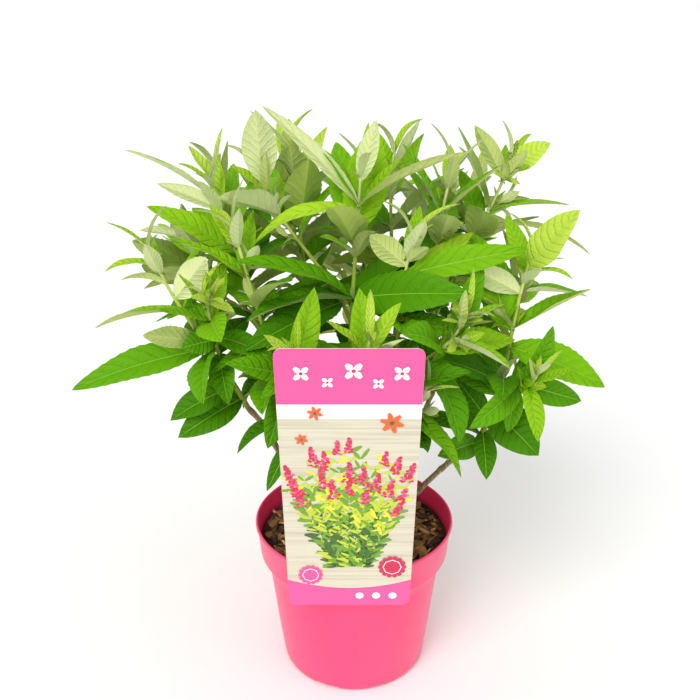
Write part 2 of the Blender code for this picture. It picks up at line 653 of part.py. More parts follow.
def leaf_test_tree(leaf, start=0.0):
    """A search tree of the blade with a thin skin of air around it."""
    verts, faces = [], []
    shares = [max(t, start) for t in leaf_stations(leaf)] + [1.0]
    for t in shares:
        middle, side, up = leaf_axes(leaf, t)
        half = leaf_half_width(leaf, t) + TEST_SKIN
        lift = half * math.sin(leaf.fold)
        reach = half * math.cos(leaf.fold)
        skin = up * TEST_SKIN
        for edge in (-1, 1):
            rim = middle + side * reach * edge + up * lift
            verts += [rim + skin, rim - skin]
        verts.append(middle - up * (leaf.length * KEEL_SHARE + TEST_SKIN))
    for low in range(0, len(verts) - 5, 5):
        a, b = low, low + 5
        for p, q in ((0, 1), (1, 4), (4, 3), (3, 2), (2, 0)):
            faces.append((a + p, a + q, b + q, b + p))
    return BVHTree.FromPolygons(verts, faces)


def tree_of(solid):
    """A search tree of a closed solid."""
    return BVHTree.FromPolygons(*solid)


def ball_of(points):
    """A ball around a set of points."""
    centre = sum(points, Vector()) / len(points)
    return centre, max((p - centre).length for p in points)


class Room:
    """What stands in the crown so far, and whether a new leaf is clear of it."""

    def __init__(self):
        self.items = []

    def add(self, owner, solid):
        """Take in a solid."""
        centre, radius = ball_of(solid[0])
        self.items.append((owner, centre, radius, tree_of(solid)))

    def is_free(self, leaf, owner, strict):
        """Whether a leaf touches nothing: its own mass is tested only when strict."""
        centre, radius = ball_of([leaf_axes(leaf, t)[0] for t in (0, 0.5, 1)])
        radius += leaf.width / 2
        whole, outer = leaf_test_tree(leaf), None
        for other, place, size, tree in self.items:
            if (place - centre).length > radius + size:
                continue
            if other != owner:
                if whole.overlap(tree):
                    return False
            elif strict:
                outer = outer or leaf_test_tree(leaf, 0.16)
                if outer.overlap(tree):
                    return False
        return True


def nudged(leaf, ahead, swing, lift, scale):
    """The same leaf swung about its stem, lifted toward it and scaled."""
    turned_by = Matrix.Rotation(math.radians(swing), 3, ahead)
    heading = turned_by @ leaf.along
    face = turned_by @ leaf.face
    tilt = Matrix.Rotation(math.radians(lift), 3, heading.cross(face))
    return leaf._replace(along=tilt @ heading, face=tilt @ face,
                         length=leaf.length * scale, width=leaf.width * scale)


def place_leaf(leaf, ahead, owner, room):
    """The leaf, or a near copy of it that is clear of the rest, or nothing."""
    for strict in (True, False):
        for scale in (1.0, 0.84, 0.68):
            for lift in (0, 14, -14, 26):
                for swing in (0, 13, -13, 26, -26, 40, -40):
                    tried = nudged(leaf, ahead, swing, lift, scale)
                    if room.is_free(tried, owner, strict):
                        return tried
    return None


def grow_leaves(stems, room):
    """Every leaf that is clear of the rest: bough name to its list of leaves."""
    leaves = {name: [] for name in stems}
    jobs = broad_jobs(stems)
    for number, row in enumerate(SHOOTS):
        points = next(p for r, p, _ in stems[row.bough] if r is row)
        dice = random.Random(SEED + number)
        for index in range(row.pairs):
            for side in (0, 1):
                share = pair_share(row, index)
                leaf = leaf_at(row, points, index, side, dice)
                jobs.append((row.bough, along(points, share)[1], leaf))
        jobs += tip_leaves(row, points, dice)
    for owner, ahead, leaf in jobs:
        placed = place_leaf(leaf, ahead, owner, room)
        if placed is not None:
            leaves[owner].append(placed)
            room.add(owner, leaf_solid(placed))
    return leaves


def broad_jobs(stems):
    """The broad leaves, which are placed before the rest."""
    jobs = []
    for row in BROAD_LEAVES:
        points = stems[row.bough][row.shoot][1]
        spot, ahead = along(points, row.share)
        droop = math.radians(row.droop)
        leaf = leaf_to(spot, ahead, Vector(row.tip) * MM, row.width * MM, droop, row.look)
        jobs.append((row.bough, ahead, leaf))
    return jobs


def tip_leaves(row, points, dice):
    """The two slender upright leaves at the end of a shoot."""
    made = []
    for side in (0, 1):
        spot, ahead = along(points, 0.985)
        turn = math.radians(row.phase + 90 * row.pairs + 180 * side + dice.uniform(-12, 12))
        spread = math.radians(dice.uniform(16, 26))
        length = row.leaf * MM * dice.uniform(0.42, 0.52)
        width = length * dice.uniform(0.25, 0.31)
        leaf = leaf_on(spot, ahead, turn, spread, length, width,
                       math.radians(dice.uniform(-8, 16)), math.radians(24), 0.0)
        made.append((row.bough, ahead, leaf))
    return made


def keep_largest(obj):
    """Drop every loose scrap and sealed hollow, so that one outer shell is left."""
    shape = bmesh.new()
    shape.from_mesh(obj.data)
    left, shells = set(shape.verts), []
    while left:
        stack, shell = [left.pop()], []
        while stack:
            vert = stack.pop()
            shell.append(vert)
            for edge in vert.link_edges:
                other = edge.other_vert(vert)
                if other in left:
                    left.discard(other)
                    stack.append(other)
        shells.append(shell)
    shells.sort(key=len)
    for shell in shells[:-1]:
        bmesh.ops.delete(shape, geom=shell, context="VERTS")
    shape.to_mesh(obj.data)
    shape.free()


def is_closed(obj):
    """Whether the object's mesh stays one closed surface once close points are made one."""
    shape = bmesh.new()
    shape.from_mesh(obj.data)
    bmesh.ops.remove_doubles(shape, verts=shape.verts, dist=WELD)
    closed = all(len(edge.link_faces) == 2 for edge in shape.edges)
    shape.free()
    return closed


def join_pile(name, pile, first, solver, finish):
    """The union of the first piece with the pile, thinned down to its outer shell."""
    body = add_object(f"foliage_{name}", *first, finish)
    join = body.modifiers.new("join", "BOOLEAN")
    join.operand_type = "COLLECTION"
    join.collection = pile
    join.operation = "UNION"
    join.solver = solver
    thin = body.modifiers.new("thin", "DECIMATE")
    thin.ratio = THIN_RATIO
    thin.use_collapse_triangulate = True
    settle_modifiers(body)
    keep_largest(body)
    return body


def build_mass(name, stems, leaves, finish):
    """One mass of foliage: stems and leaves in one closed body, a leaf less at every second try."""
    solids = [tube(points, radii, 3) for _, points, radii in stems]
    solids += [leaf_solid(leaf) for leaf in leaves]
    pile = bpy.data.collections.new(f"{name}_pieces")
    bpy.context.scene.collection.children.link(pile)
    for number, solid in enumerate(solids[1:]):
        piece = add_object(f"{name}_piece_{number}", *solid)
        bpy.context.scene.collection.objects.unlink(piece)
        pile.objects.link(piece)
    for turn in range(MOST_TRIES):
        body = join_pile(name, pile, solids[0], ("EXACT", "MANIFOLD")[turn % 2], finish)
        if is_closed(body) or turn == MOST_TRIES - 1:
            break
        bpy.data.objects.remove(body, do_unlink=True)
        if turn % 2:
            bpy.data.objects.remove(pile.objects[-1], do_unlink=True)
    for piece in list(pile.objects):
        bpy.data.objects.remove(piece, do_unlink=True)
    bpy.data.collections.remove(pile)


def build_plant():
    """Trunk, boughs and masses of foliage."""
    bark = material("bark", "8A6E4B", 0.85)
    leafy = material("leaf", "5C9A1E", 0.55)
    build_trunk(bark)
    room = Room()
    for name in ("pot", "soil", "label_card", "trunk"):
        mesh = bpy.data.objects[name].data
        points = [v.co.copy() for v in mesh.vertices]
        room.add(name, (points, [tuple(p.vertices) for p in mesh.polygons]))
    for row in BOUGHS:
        line = bough_line(row)
        solid = tube(line, bough_radii(len(line)), 5)
        room.add(f"bough_{row.name}", solid)
        shade_round(add_object(f"bough_{row.name}", *solid, bark))
    stems = grow_stems()
    for name, rows in stems.items():
        for _, points, radii in rows:
            room.add(name, tube(points, radii, 3))
    leaves = grow_leaves(stems, room)
    for name, rows in stems.items():
        build_mass(name, rows, leaves[name], leafy)


def main():
    """Build the pot, the soil, the card and the plant."""
    clear_scene()
    build_pot()
    build_soil()
    build_card()
    build_plant()


main()
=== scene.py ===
"""A young butterfly bush in a round pink nursery pot, with a picture card over its rim.

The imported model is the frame, in metres with +Z up and the origin on the flat underside
of the pot. The plant grows by the model's own seeded rule, written again here: boughs
leave a short trunk, each hands over to leafy stems, and leaves stand on the stems in
crosswise pairs. The rule is carried on here to leaflets in the axils, fine woody twigs,
leafy outgrowths at the nodes and flower buds.
"""

import enum
import logging
import math
import random
from collections.abc import Callable, Iterable, Sequence
from dataclasses import dataclass, field
from typing import NamedTuple

import bmesh
import bpy
from mathutils import Matrix, Vector, noise
from mathutils.bvhtree import BVHTree


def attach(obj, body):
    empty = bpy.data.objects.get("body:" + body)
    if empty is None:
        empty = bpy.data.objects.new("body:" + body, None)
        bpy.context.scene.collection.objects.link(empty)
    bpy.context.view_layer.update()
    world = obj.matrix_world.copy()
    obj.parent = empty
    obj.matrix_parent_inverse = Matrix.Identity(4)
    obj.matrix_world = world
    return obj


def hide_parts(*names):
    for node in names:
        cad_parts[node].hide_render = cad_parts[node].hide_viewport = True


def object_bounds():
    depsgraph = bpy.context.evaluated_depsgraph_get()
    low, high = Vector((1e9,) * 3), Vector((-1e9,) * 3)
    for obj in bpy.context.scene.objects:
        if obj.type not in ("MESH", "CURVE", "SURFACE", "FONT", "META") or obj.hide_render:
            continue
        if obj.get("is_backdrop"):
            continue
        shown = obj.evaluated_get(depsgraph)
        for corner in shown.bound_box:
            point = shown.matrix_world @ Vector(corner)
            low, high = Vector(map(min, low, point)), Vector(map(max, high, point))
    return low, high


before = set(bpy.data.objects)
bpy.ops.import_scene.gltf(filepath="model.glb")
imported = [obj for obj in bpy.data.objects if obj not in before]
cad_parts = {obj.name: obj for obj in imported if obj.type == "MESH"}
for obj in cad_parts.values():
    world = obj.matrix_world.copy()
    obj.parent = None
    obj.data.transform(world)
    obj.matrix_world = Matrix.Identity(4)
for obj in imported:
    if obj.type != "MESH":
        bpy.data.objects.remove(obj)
cad_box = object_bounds()

LOG = logging.getLogger("butterfly_bush")
MM = 0.001
CLEAR = 0.3 * MM

Place = Callable[[Vector], Vector]
Solid = tuple[list[Vector], list[tuple[int, ...]]]
Triple = tuple[float, float, float]


def linear(hex_colour: str) -> tuple[float, float, float, float]:
    """Turn a colour as it is seen into a shader's linear one.

    Args:
        hex_colour: six hexadecimal digits of an sRGB colour.

    Returns:
        Linear red, green and blue, and a full alpha.
    """
    parts = [int(hex_colour[i:i + 2], 16) / 255 for i in (0, 2, 4)]
    red, green, blue = (
        v / 12.92 if v <= 0.04045 else ((v + 0.055) / 1.055) ** 2.4 for v in parts
    )
    return red, green, blue, 1.0


def add_node(
    tree: bpy.types.NodeTree, kind: str, inputs: dict | None = None, **settings: object
) -> bpy.types.Node:
    """Add a node to a material.

    Args:
        tree: the material's nodes.
        kind: the node's type.
        inputs: for each input, by name or number, a value or the output linked to it.
        settings: attributes of the node.

    Returns:
        The new node.
    """
    made = tree.nodes.new(kind)
    for name, value in settings.items():
        setattr(made, name, value)
    for name, value in (inputs or {}).items():
        if isinstance(value, bpy.types.NodeSocket):
            tree.links.new(value, made.inputs[name])
        else:
            made.inputs[name].default_value = value
    return made


@dataclass(frozen=True)
class Finish:
    """A surface of the plant, the pot or the card.

    Attributes:
        name: the real material and how its surface was made.
        colour: its colour as it is seen in even light.
        roughness: how matt it is, from 0 to 1.
    """

    name: str
    colour: str
    roughness: float

    def material(self) -> bpy.types.Material:
        """Make the material.

        Returns:
            A Principled material with the pattern of this finish.
        """
        made = bpy.data.materials.new(self.name)
        made.use_nodes = True
        shader = made.node_tree.nodes["Principled BSDF"]
        shader.inputs["Base Color"].default_value = linear(self.colour)
        shader.inputs["Roughness"].default_value = self.roughness
        self.pattern(made.node_tree, shader)
        return made

    def pattern(self, tree: bpy.types.NodeTree, shader: bpy.types.Node) -> None:
        """Add nothing: a plain finish has no pattern."""

    def relief(
        self,
        tree: bpy.types.NodeTree,
        shader: bpy.types.Node,
        height: bpy.types.NodeSocket,
        depth: float,
        strength: float = 1.0,
    ) -> None:
        """Raise the surface by a height.

        Args:
            tree: the material's nodes.
            shader: its Principled node.
            height: a height from 0 to 1.
            depth: what a height of 1 measures, in metres.
            strength: share of the relief that shows.
        """
        bump = add_node(
            tree,
            "ShaderNodeBump",
            {"Height": height, "Distance": depth, "Strength": strength},
        )
        tree.links.new(bump.outputs["Normal"], shader.inputs["Normal"])


@dataclass(frozen=True)
class MouldedPolypropylene(Finish):
    """Injection-moulded polypropylene of a nursery pot.

    The skin is satin with a faint orange peel from the mould, and the pigment is spread
    a little unevenly, so the pink has soft paler clouds.
    """

    cloud: str = "FF86A8"
    peel: float = 1.3 * MM

    def pattern(self, tree: bpy.types.NodeTree, shader: bpy.types.Node) -> None:
        """Add the clouds of pigment and the peel."""
        shader.inputs["IOR"].default_value = 1.49
        place = add_node(tree, "ShaderNodeTexCoord").outputs["Object"]
        clouds = add_node(
            tree, "ShaderNodeTexNoise", {"Vector": place, "Scale": 1 / 0.09, "Detail": 1.0}
        )
        share = add_node(
            tree,
            "ShaderNodeMapRange",
            {"Value": clouds.outputs["Fac"], "From Min": 0.35, "From Max": 0.75, "To Max": 0.2},
        )
        pink = add_node(
            tree,
            "ShaderNodeMix",
            {"Factor": share.outputs["Result"], 6: linear(self.colour), 7: linear(self.cloud)},
            data_type="RGBA",
        )
        tree.links.new(pink.outputs[2], shader.inputs["Base Color"])
        skin = add_node(
            tree, "ShaderNodeTexNoise", {"Vector": place, "Scale": 1 / self.peel, "Detail": 1.0}
        )
        gloss = add_node(
            tree,
            "ShaderNodeMapRange",
            {
                "Value": clouds.outputs["Fac"],
                "To Min": self.roughness - 0.05,
                "To Max": self.roughness + 0.07,
            },
        )
        tree.links.new(gloss.outputs["Result"], shader.inputs["Roughness"])
        self.relief(tree, shader, skin.outputs["Fac"], 0.05 * MM, 0.5)


@dataclass(frozen=True)
class DampCompost(Finish):
    """Screened peat compost, damp: near black crumbs with brown fibres."""

    fibre: str = "4A2E1B"
    crumb: float = 2.2 * MM

    def pattern(self, tree: bpy.types.NodeTree, shader: bpy.types.Node) -> None:
        """Add crumbs of two sizes and their colours."""
        place = add_node(tree, "ShaderNodeTexCoord").outputs["Object"]
        crumbs = add_node(
            tree, "ShaderNodeTexVoronoi", {"Vector": place, "Scale": 1 / self.crumb}
        )
        grit = add_node(
            tree, "ShaderNodeTexNoise", {"Vector": place, "Scale": 1 / 0.0008, "Detail": 3.0}
        )
        tone = add_node(
            tree,
            "ShaderNodeMix",
            {"Factor": grit.outputs["Fac"], 6: linear(self.colour), 7: linear(self.fibre)},
            data_type="RGBA",
        )
        tree.links.new(tone.outputs[2], shader.inputs["Base Color"])
        self.relief(tree, shader, crumbs.outputs["Distance"], 1.2 * MM)


@dataclass(frozen=True)
class BarkChip(Finish):
    """Chipped and composted pine bark.

    Each chip is a torn flake: dull, with dark and light grain along its length about a
    millimetre apart.
    """

    grain: float = 1.1 * MM

    def pattern(self, tree: bpy.types.NodeTree, shader: bpy.types.Node) -> None:
        """Add the torn grain as relief and a change of gloss."""
        place = add_node(tree, "ShaderNodeTexCoord").outputs["Object"]
        grain = add_node(
            tree,
            "ShaderNodeTexNoise",
            {"Vector": place, "Scale": 1 / self.grain, "Detail": 4.0, "Distortion": 1.2},
        )
        dull = add_node(
            tree,
            "ShaderNodeMapRange",
            {"Value": grain.outputs["Fac"], "To Min": 0.6, "To Max": 1.0},
        )
        tree.links.new(dull.outputs["Result"], shader.inputs["Roughness"])
        self.relief(tree, shader, grain.outputs["Fac"], 0.6 * MM)


@dataclass(frozen=True)
class PrintedLaminate(Finish):
    """Offset print on polypropylene sheet under a glossy laminate.

    The ink is flat and even, the laminate gives a clear reflection with a very slight
    ripple from the rollers.
    """

    ripple: float = 9 * MM

    def pattern(self, tree: bpy.types.NodeTree, shader: bpy.types.Node) -> None:
        """Add the laminate's ripple and its coat."""
        shader.inputs["Coat Weight"].default_value = 0.3
        shader.inputs["Coat Roughness"].default_value = 0.12
        place = add_node(tree, "ShaderNodeTexCoord").outputs["Object"]
        wave = add_node(
            tree, "ShaderNodeTexNoise", {"Vector": place, "Scale": 1 / self.ripple}
        )
        self.relief(tree, shader, wave.outputs["Fac"], 0.12 * MM, 0.4)


@dataclass(frozen=True)
class PrintedBoards(PrintedLaminate):
    """The laminate over a print of weathered boards: grey beige with fine level grain."""

    streak: str = "B8AF93"
    board: float = 17 * MM

    def pattern(self, tree: bpy.types.NodeTree, shader: bpy.types.Node) -> None:
        """Add the grain of the printed boards and the dark lines between them."""
        PrintedLaminate.pattern(self, tree, shader)
        place = add_node(tree, "ShaderNodeTexCoord").outputs["Object"]
        level = add_node(
            tree, "ShaderNodeMapping", {"Vector": place, "Scale": (12.0, 40.0, 420.0)}
        )
        grain = add_node(
            tree,
            "ShaderNodeTexNoise",
            {"Vector": level.outputs["Vector"], "Scale": 1.0, "Detail": 3.0},
        )
        height = add_node(tree, "ShaderNodeSeparateXYZ", {"Vector": place}).outputs["Z"]
        row = add_node(
            tree, "ShaderNodeMath", {0: height, 1: self.board}, operation="PINGPONG"
        )
        joint = add_node(
            tree,
            "ShaderNodeMapRange",
            {
                "Value": row.outputs[0],
                "From Max": 0.7 * MM,
                "To Min": 0.8,
                "To Max": 0.0,
            },
        )
        streaks = add_node(
            tree,
            "ShaderNodeMapRange",
            {"Value": grain.outputs["Fac"], "From Min": 0.45, "From Max": 0.7, "To Max": 0.6},
        )
        share = add_node(
            tree,
            "ShaderNodeMath",
            {0: joint.outputs["Result"], 1: streaks.outputs["Result"]},
            operation="MAXIMUM",
        )
        tone = add_node(
            tree,
            "ShaderNodeMix",
            {"Factor": share.outputs[0], 6: linear(self.colour), 7: linear(self.streak)},
            data_type="RGBA",
        )
        tree.links.new(tone.outputs[2], shader.inputs["Base Color"])


@dataclass(frozen=True)
class LeafBlade(Finish):
    """One side of a butterfly bush leaf, living tissue as it grew.

    Side veins run forward from the midrib about a tenth of the blade apart. On top they
    are sunk and the blade puffs up between them in a net of small blisters, with a waxy
    half gloss. Below they stand out and the blade is matt with pale felt.
    """

    felt: float = 0.0
    pairs: float = 9.0
    puff: float = 0.9
    stray: float = 22 * MM
    blister: float = 1.5 * MM

    def pattern(self, tree: bpy.types.NodeTree, shader: bpy.types.Node) -> None:
        """Add the veins and the net between them, as relief and gloss."""
        shader.inputs["IOR"].default_value = 1.42
        shader.inputs["Specular IOR Level"].default_value = 0.12
        shader.inputs["Sheen Weight"].default_value = self.felt
        shader.inputs["Sheen Roughness"].default_value = 0.5
        blade = add_node(tree, "ShaderNodeUVMap", uv_map="blade").outputs["UV"]
        spot = add_node(tree, "ShaderNodeSeparateXYZ", {"Vector": blade})
        across = add_node(
            tree, "ShaderNodeMath", {0: spot.outputs["X"], 1: 0.5}, operation="SUBTRACT"
        )
        out = add_node(tree, "ShaderNodeMath", {0: across.outputs[0]}, operation="ABSOLUTE")
        back = add_node(
            tree, "ShaderNodeMath", {0: out.outputs[0], 1: 3.6}, operation="MULTIPLY"
        )
        place = add_node(tree, "ShaderNodeTexCoord").outputs["Object"]
        stray = add_node(
            tree, "ShaderNodeTexNoise", {"Vector": place, "Scale": 1 / self.stray, "Detail": 1.0}
        )
        sway = add_node(
            tree, "ShaderNodeMath", {0: stray.outputs["Fac"], 1: 0.45}, operation="MULTIPLY"
        )
        order = add_node(
            tree,
            "ShaderNodeMath",
            {0: spot.outputs["Y"], 1: self.pairs, 2: sway.outputs[0]},
            operation="MULTIPLY_ADD",
        )
        count = add_node(
            tree,
            "ShaderNodeMath",
            {0: order.outputs[0], 1: back.outputs[0]},
            operation="SUBTRACT",
        )
        apart = add_node(
            tree, "ShaderNodeMath", {0: count.outputs[0], 1: 0.5}, operation="PINGPONG"
        )
        puff = add_node(
            tree,
            "ShaderNodeMapRange",
            {"Value": apart.outputs[0], "From Max": 0.26, "To Max": self.puff},
            interpolation_type="SMOOTHSTEP",
        )
        net = add_node(
            tree,
            "ShaderNodeTexVoronoi",
            {"Vector": place, "Scale": 1 / self.blister},
            feature="SMOOTH_F1",
        )
        height = add_node(
            tree,
            "ShaderNodeMath",
            {0: net.outputs["Distance"], 1: -0.8, 2: puff.outputs["Result"]},
            operation="MULTIPLY_ADD",
        )
        gloss = add_node(
            tree,
            "ShaderNodeMapRange",
            {
                "Value": net.outputs["Distance"],
                "To Min": self.roughness - 0.08,
                "To Max": self.roughness + 0.1,
            },
        )
        tree.links.new(gloss.outputs["Result"], shader.inputs["Roughness"])
        depth = -0.36 * MM if self.felt else 0.6 * MM
        self.relief(tree, shader, height.outputs[0], depth)


@dataclass(frozen=True)
class ShootSkin(Finish):
    """Skin of a stem or a twig as it grew: fine ribs along it under short felt."""

    felt: float = 0.1
    rib: float = 0.9 * MM
    depth: float = 0.25 * MM

    def pattern(self, tree: bpy.types.NodeTree, shader: bpy.types.Node) -> None:
        """Add the ribs as noise drawn out along the height."""
        shader.inputs["Sheen Weight"].default_value = self.felt
        place = add_node(tree, "ShaderNodeTexCoord").outputs["Object"]
        drawn = add_node(
            tree,
            "ShaderNodeMapping",
            {"Vector": place, "Scale": (1 / self.rib, 1 / self.rib, 0.18 / self.rib)},
        )
        ribs = add_node(
            tree,
            "ShaderNodeTexNoise",
            {"Vector": drawn.outputs["Vector"], "Scale": 1.0, "Detail": 3.0},
        )
        gloss = add_node(
            tree,
            "ShaderNodeMapRange",
            {
                "Value": ribs.outputs["Fac"],
                "To Min": self.roughness - 0.1,
                "To Max": self.roughness + 0.1,
            },
        )
        tree.links.new(gloss.outputs["Result"], shader.inputs["Roughness"])
        self.relief(tree, shader, ribs.outputs["Fac"], self.depth)


@dataclass(frozen=True)
class FibrousBark(ShootSkin):
    """Young bark that splits lengthwise: grey brown, with paler torn fibres."""

    fibre: str = "B39B78"

    def pattern(self, tree: bpy.types.NodeTree, shader: bpy.types.Node) -> None:
        """Add the ribs, and pale fibres in the colour."""
        ShootSkin.pattern(self, tree, shader)
        place = add_node(tree, "ShaderNodeTexCoord").outputs["Object"]
        drawn = add_node(
            tree, "ShaderNodeMapping", {"Vector": place, "Scale": (700.0, 700.0, 90.0)}
        )
        fibres = add_node(
            tree,
            "ShaderNodeTexNoise",
            {"Vector": drawn.outputs["Vector"], "Scale": 1.0, "Detail": 4.0},
        )
        share = add_node(
            tree,
            "ShaderNodeMapRange",
            {"Value": fibres.outputs["Fac"], "From Min": 0.45, "From Max": 0.68},
        )
        tone = add_node(
            tree,
            "ShaderNodeMix",
            {"Factor": share.outputs["Result"], 6: linear(self.colour), 7: linear(self.fibre)},
            data_type="RGBA",
        )
        tree.links.new(tone.outputs[2], shader.inputs["Base Color"])


class Palette:
    """Finishes of one piece in the order of its material slots."""

    def __init__(self, *finishes: Finish) -> None:
        """Keep the finishes in order."""
        self.finishes = finishes

    def dress(self, piece: bpy.types.Object) -> None:
        """Give the piece a material for each finish."""
        for finish in self.finishes:
            piece.data.materials.append(finish.material())


def finished(
    shape: bmesh.types.BMesh, name: str, palette: Palette, smooth: bool = True
) -> bpy.types.Object:
    """Make a piece of the object from a shape in its final place.

    Args:
        shape: the shape, which is freed.
        name: the piece's name.
        palette: its finishes.
        smooth: whether its faces are shaded round.

    Returns:
        The piece, riding on the plant's one body.
    """
    for face in shape.faces:
        face.smooth = smooth
    mesh = bpy.data.meshes.new(name)
    shape.to_mesh(mesh)
    shape.free()
    piece = bpy.data.objects.new(name, mesh)
    bpy.context.scene.collection.objects.link(piece)
    palette.dress(piece)
    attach(piece, "root")
    count = sum(len(face.vertices) - 2 for face in mesh.polygons)
    LOG.info("%s: %d triangles", name, count)
    return piece


class Mould:
    """A small shape made once with bmesh operators and cast many times."""

    def __init__(self, shape: bmesh.types.BMesh) -> None:
        """Keep a finished shape, which is freed."""
        self.mesh = bpy.data.meshes.new("mould")
        shape.to_mesh(self.mesh)
        shape.free()

    def cast(
        self,
        into: bmesh.types.BMesh,
        place: Place,
        dress: Callable[[int], int] | int | None = None,
    ) -> None:
        """Add a copy with each point moved by a rule.

        Args:
            into: the shape that takes the copy.
            place: the rule, from a point of the mould to its place.
            dress: the material slot of the copy, or a rule from the mould's slot to it.
        """
        points, faces = len(into.verts), len(into.faces)
        into.from_mesh(self.mesh)
        into.verts.ensure_lookup_table()
        for vert in into.verts[points:]:
            vert.co = place(vert.co.copy())
        if dress is None:
            return
        into.faces.ensure_lookup_table()
        for face in into.faces[faces:]:
            face.material_index = dress if isinstance(dress, int) else dress(face.material_index)

    def drop(self) -> None:
        """Remove the mould once its casts are made."""
        bpy.data.meshes.remove(self.mesh)


def blade_mould(rows: int, halves: int) -> Mould:
    """A leaf of two thin layers that share their outline.

    X runs across from -1 to 1, Y from the stalk at 0 to the tip at 1, and Z is 0 on the
    upper layer and -1 on the lower. Slots are 0 upper, 1 lower, 2 and 3 their midribs.

    Args:
        rows: rows of faces along the leaf.
        halves: faces across each half, beside the midrib's own.

    Returns:
        The mould.
    """
    shape = bmesh.new()
    shape.loops.layers.uv.new("blade")
    wide = 2 * halves + 1
    bmesh.ops.create_grid(shape, x_segments=wide, y_segments=rows, size=0.5, calc_uvs=True)
    for vert in shape.verts:
        column = round((vert.co.x + 0.5) * wide)
        out = column - halves if column > halves else column - halves - 1
        near = abs(out) == 1
        vert.co.x = math.copysign(0.001, out) if near else (out - math.copysign(1, out)) / halves
        vert.co.y += 0.5
    for face in shape.faces:
        middle = face.calc_center_median().x
        face.material_index = 2 if abs(middle) < 0.001 else 0
    rim = {vert for edge in shape.edges if edge.is_boundary for vert in edge.verts}
    marks = {(round(v.co.x, 4), round(v.co.y, 4)) for v in rim}
    copy = bmesh.ops.duplicate(shape, geom=shape.verts[:] + shape.edges[:] + shape.faces[:])
    under = [item for item in copy["geom"] if isinstance(item, bmesh.types.BMFace)]
    bmesh.ops.reverse_faces(shape, faces=under)
    for face in under:
        face.material_index += 1
    for vert in {vert for face in under for vert in face.verts}:
        if (round(vert.co.x, 4), round(vert.co.y, 4)) not in marks:
            vert.co.z = -1
    for vert in shape.verts:
        if vert.co.y > 0.9999:
            vert.co.x = 0
    bmesh.ops.remove_doubles(shape, verts=shape.verts, dist=1e-5)
    for edge in shape.edges:
        sides = {face.material_index % 2 for face in edge.link_faces}
        edge.smooth = len(sides) < 2
    return Mould(shape)


def tube_mould(sides: int, rows: int) -> Mould:
    """A tube of unit radius with its rows one apart in Z, closed at both ends."""
    shape = bmesh.new()
    ring = bmesh.ops.create_circle(shape, cap_ends=False, segments=sides, radius=1)["verts"]
    edges = list({edge for vert in ring for edge in vert.link_edges})
    first = edges
    for _ in range(rows):
        grown = bmesh.ops.extrude_edge_only(shape, edges=edges)["geom"]
        fresh = [item for item in grown if isinstance(item, bmesh.types.BMVert)]
        edges = [
            item for item in grown
            if isinstance(item, bmesh.types.BMEdge) and all(v in fresh for v in item.verts)
        ]
        bmesh.ops.translate(shape, verts=fresh, vec=(0, 0, 1))
    bmesh.ops.edgeloop_fill(shape, edges=first)
    bmesh.ops.edgeloop_fill(shape, edges=edges)
    bmesh.ops.recalc_face_normals(shape, faces=shape.faces)
    return Mould(shape)


def grain_mould() -> Mould:
    """A round grain of twenty faces, of unit radius."""
    shape = bmesh.new()
    bmesh.ops.create_icosphere(shape, subdivisions=1, radius=1)
    return Mould(shape)


def chip_mould() -> Mould:
    """A block one long, wide and high with its edges broken off."""
    shape = bmesh.new()
    bmesh.ops.create_cube(shape, size=1)
    bmesh.ops.bevel(
        shape, geom=shape.edges[:], offset=0.16, segments=1, affect="EDGES",
        profile=0.5, material=-1,
    )
    return Mould(shape)


def disc_mould(sides: int) -> Mould:
    """A flat disc of one face, of unit radius."""
    shape = bmesh.new()
    bmesh.ops.create_circle(shape, cap_ends=True, segments=sides, radius=1)
    return Mould(shape)


class Bough(NamedTuple):
    """A woody limb: where it leaves the trunk, its tip in millimetres, and how it ends."""

    name: str
    root_z: float
    azimuth: float
    tip: Triple
    rise: float


class Shoot(NamedTuple):
    """A leafy stem: its bough, where it forks, its tip in millimetres, and its leaves."""

    bough: str
    fork: float
    tip: Triple
    pairs: int
    bare: float
    leaf: float
    phase: float


class Broad(NamedTuple):
    """A broad leaf of the crown's outline: its stem, its tip and width in millimetres.

    Its look says how far the upper side turns to the front, or the underside below 0.
    """

    bough: str
    shoot: int
    share: float
    tip: Triple
    width: float
    droop: float
    look: float


class Leaf(NamedTuple):
    """A leaf: its foot, its first direction, its upper side, and its size and bend."""

    root: Vector
    along: Vector
    face: Vector
    length: float
    width: float
    droop: float
    fold: float
    twist: float


BOUGHS = (
    Bough("left_front", 136, -157, (-83, -35, 256), 1.1),
    Bough("front", 136, -97, (3, -48, 206), 2.0),
    Bough("right", 136, -26, (95, -25, 214), 0.5),
    Bough("right_back", 136, 34, (70, 46, 235), 1.6),
    Bough("back", 136, 90, (4, 62, 236), 1.8),
    Bough("left_back", 136, 148, (-68, 46, 240), 1.5),
    Bough("left", 152, 178, (-54, 2, 248), 2.0),
    Bough("front_left", 152, -127, (-44, -42, 226), 1.8),
    Bough("front_right", 152, -63, (26, -32, 226), 2.2),
    Bough("right_upper", 152, 2, (56, 4, 250), 2.2),
    Bough("back_right", 152, 60, (34, 38, 256), 2.2),
    Bough("back_left", 152, 120, (-34, 36, 256), 2.2),
    Bough("leader", 165, -100, (-3, -8, 262), 3.0),
)

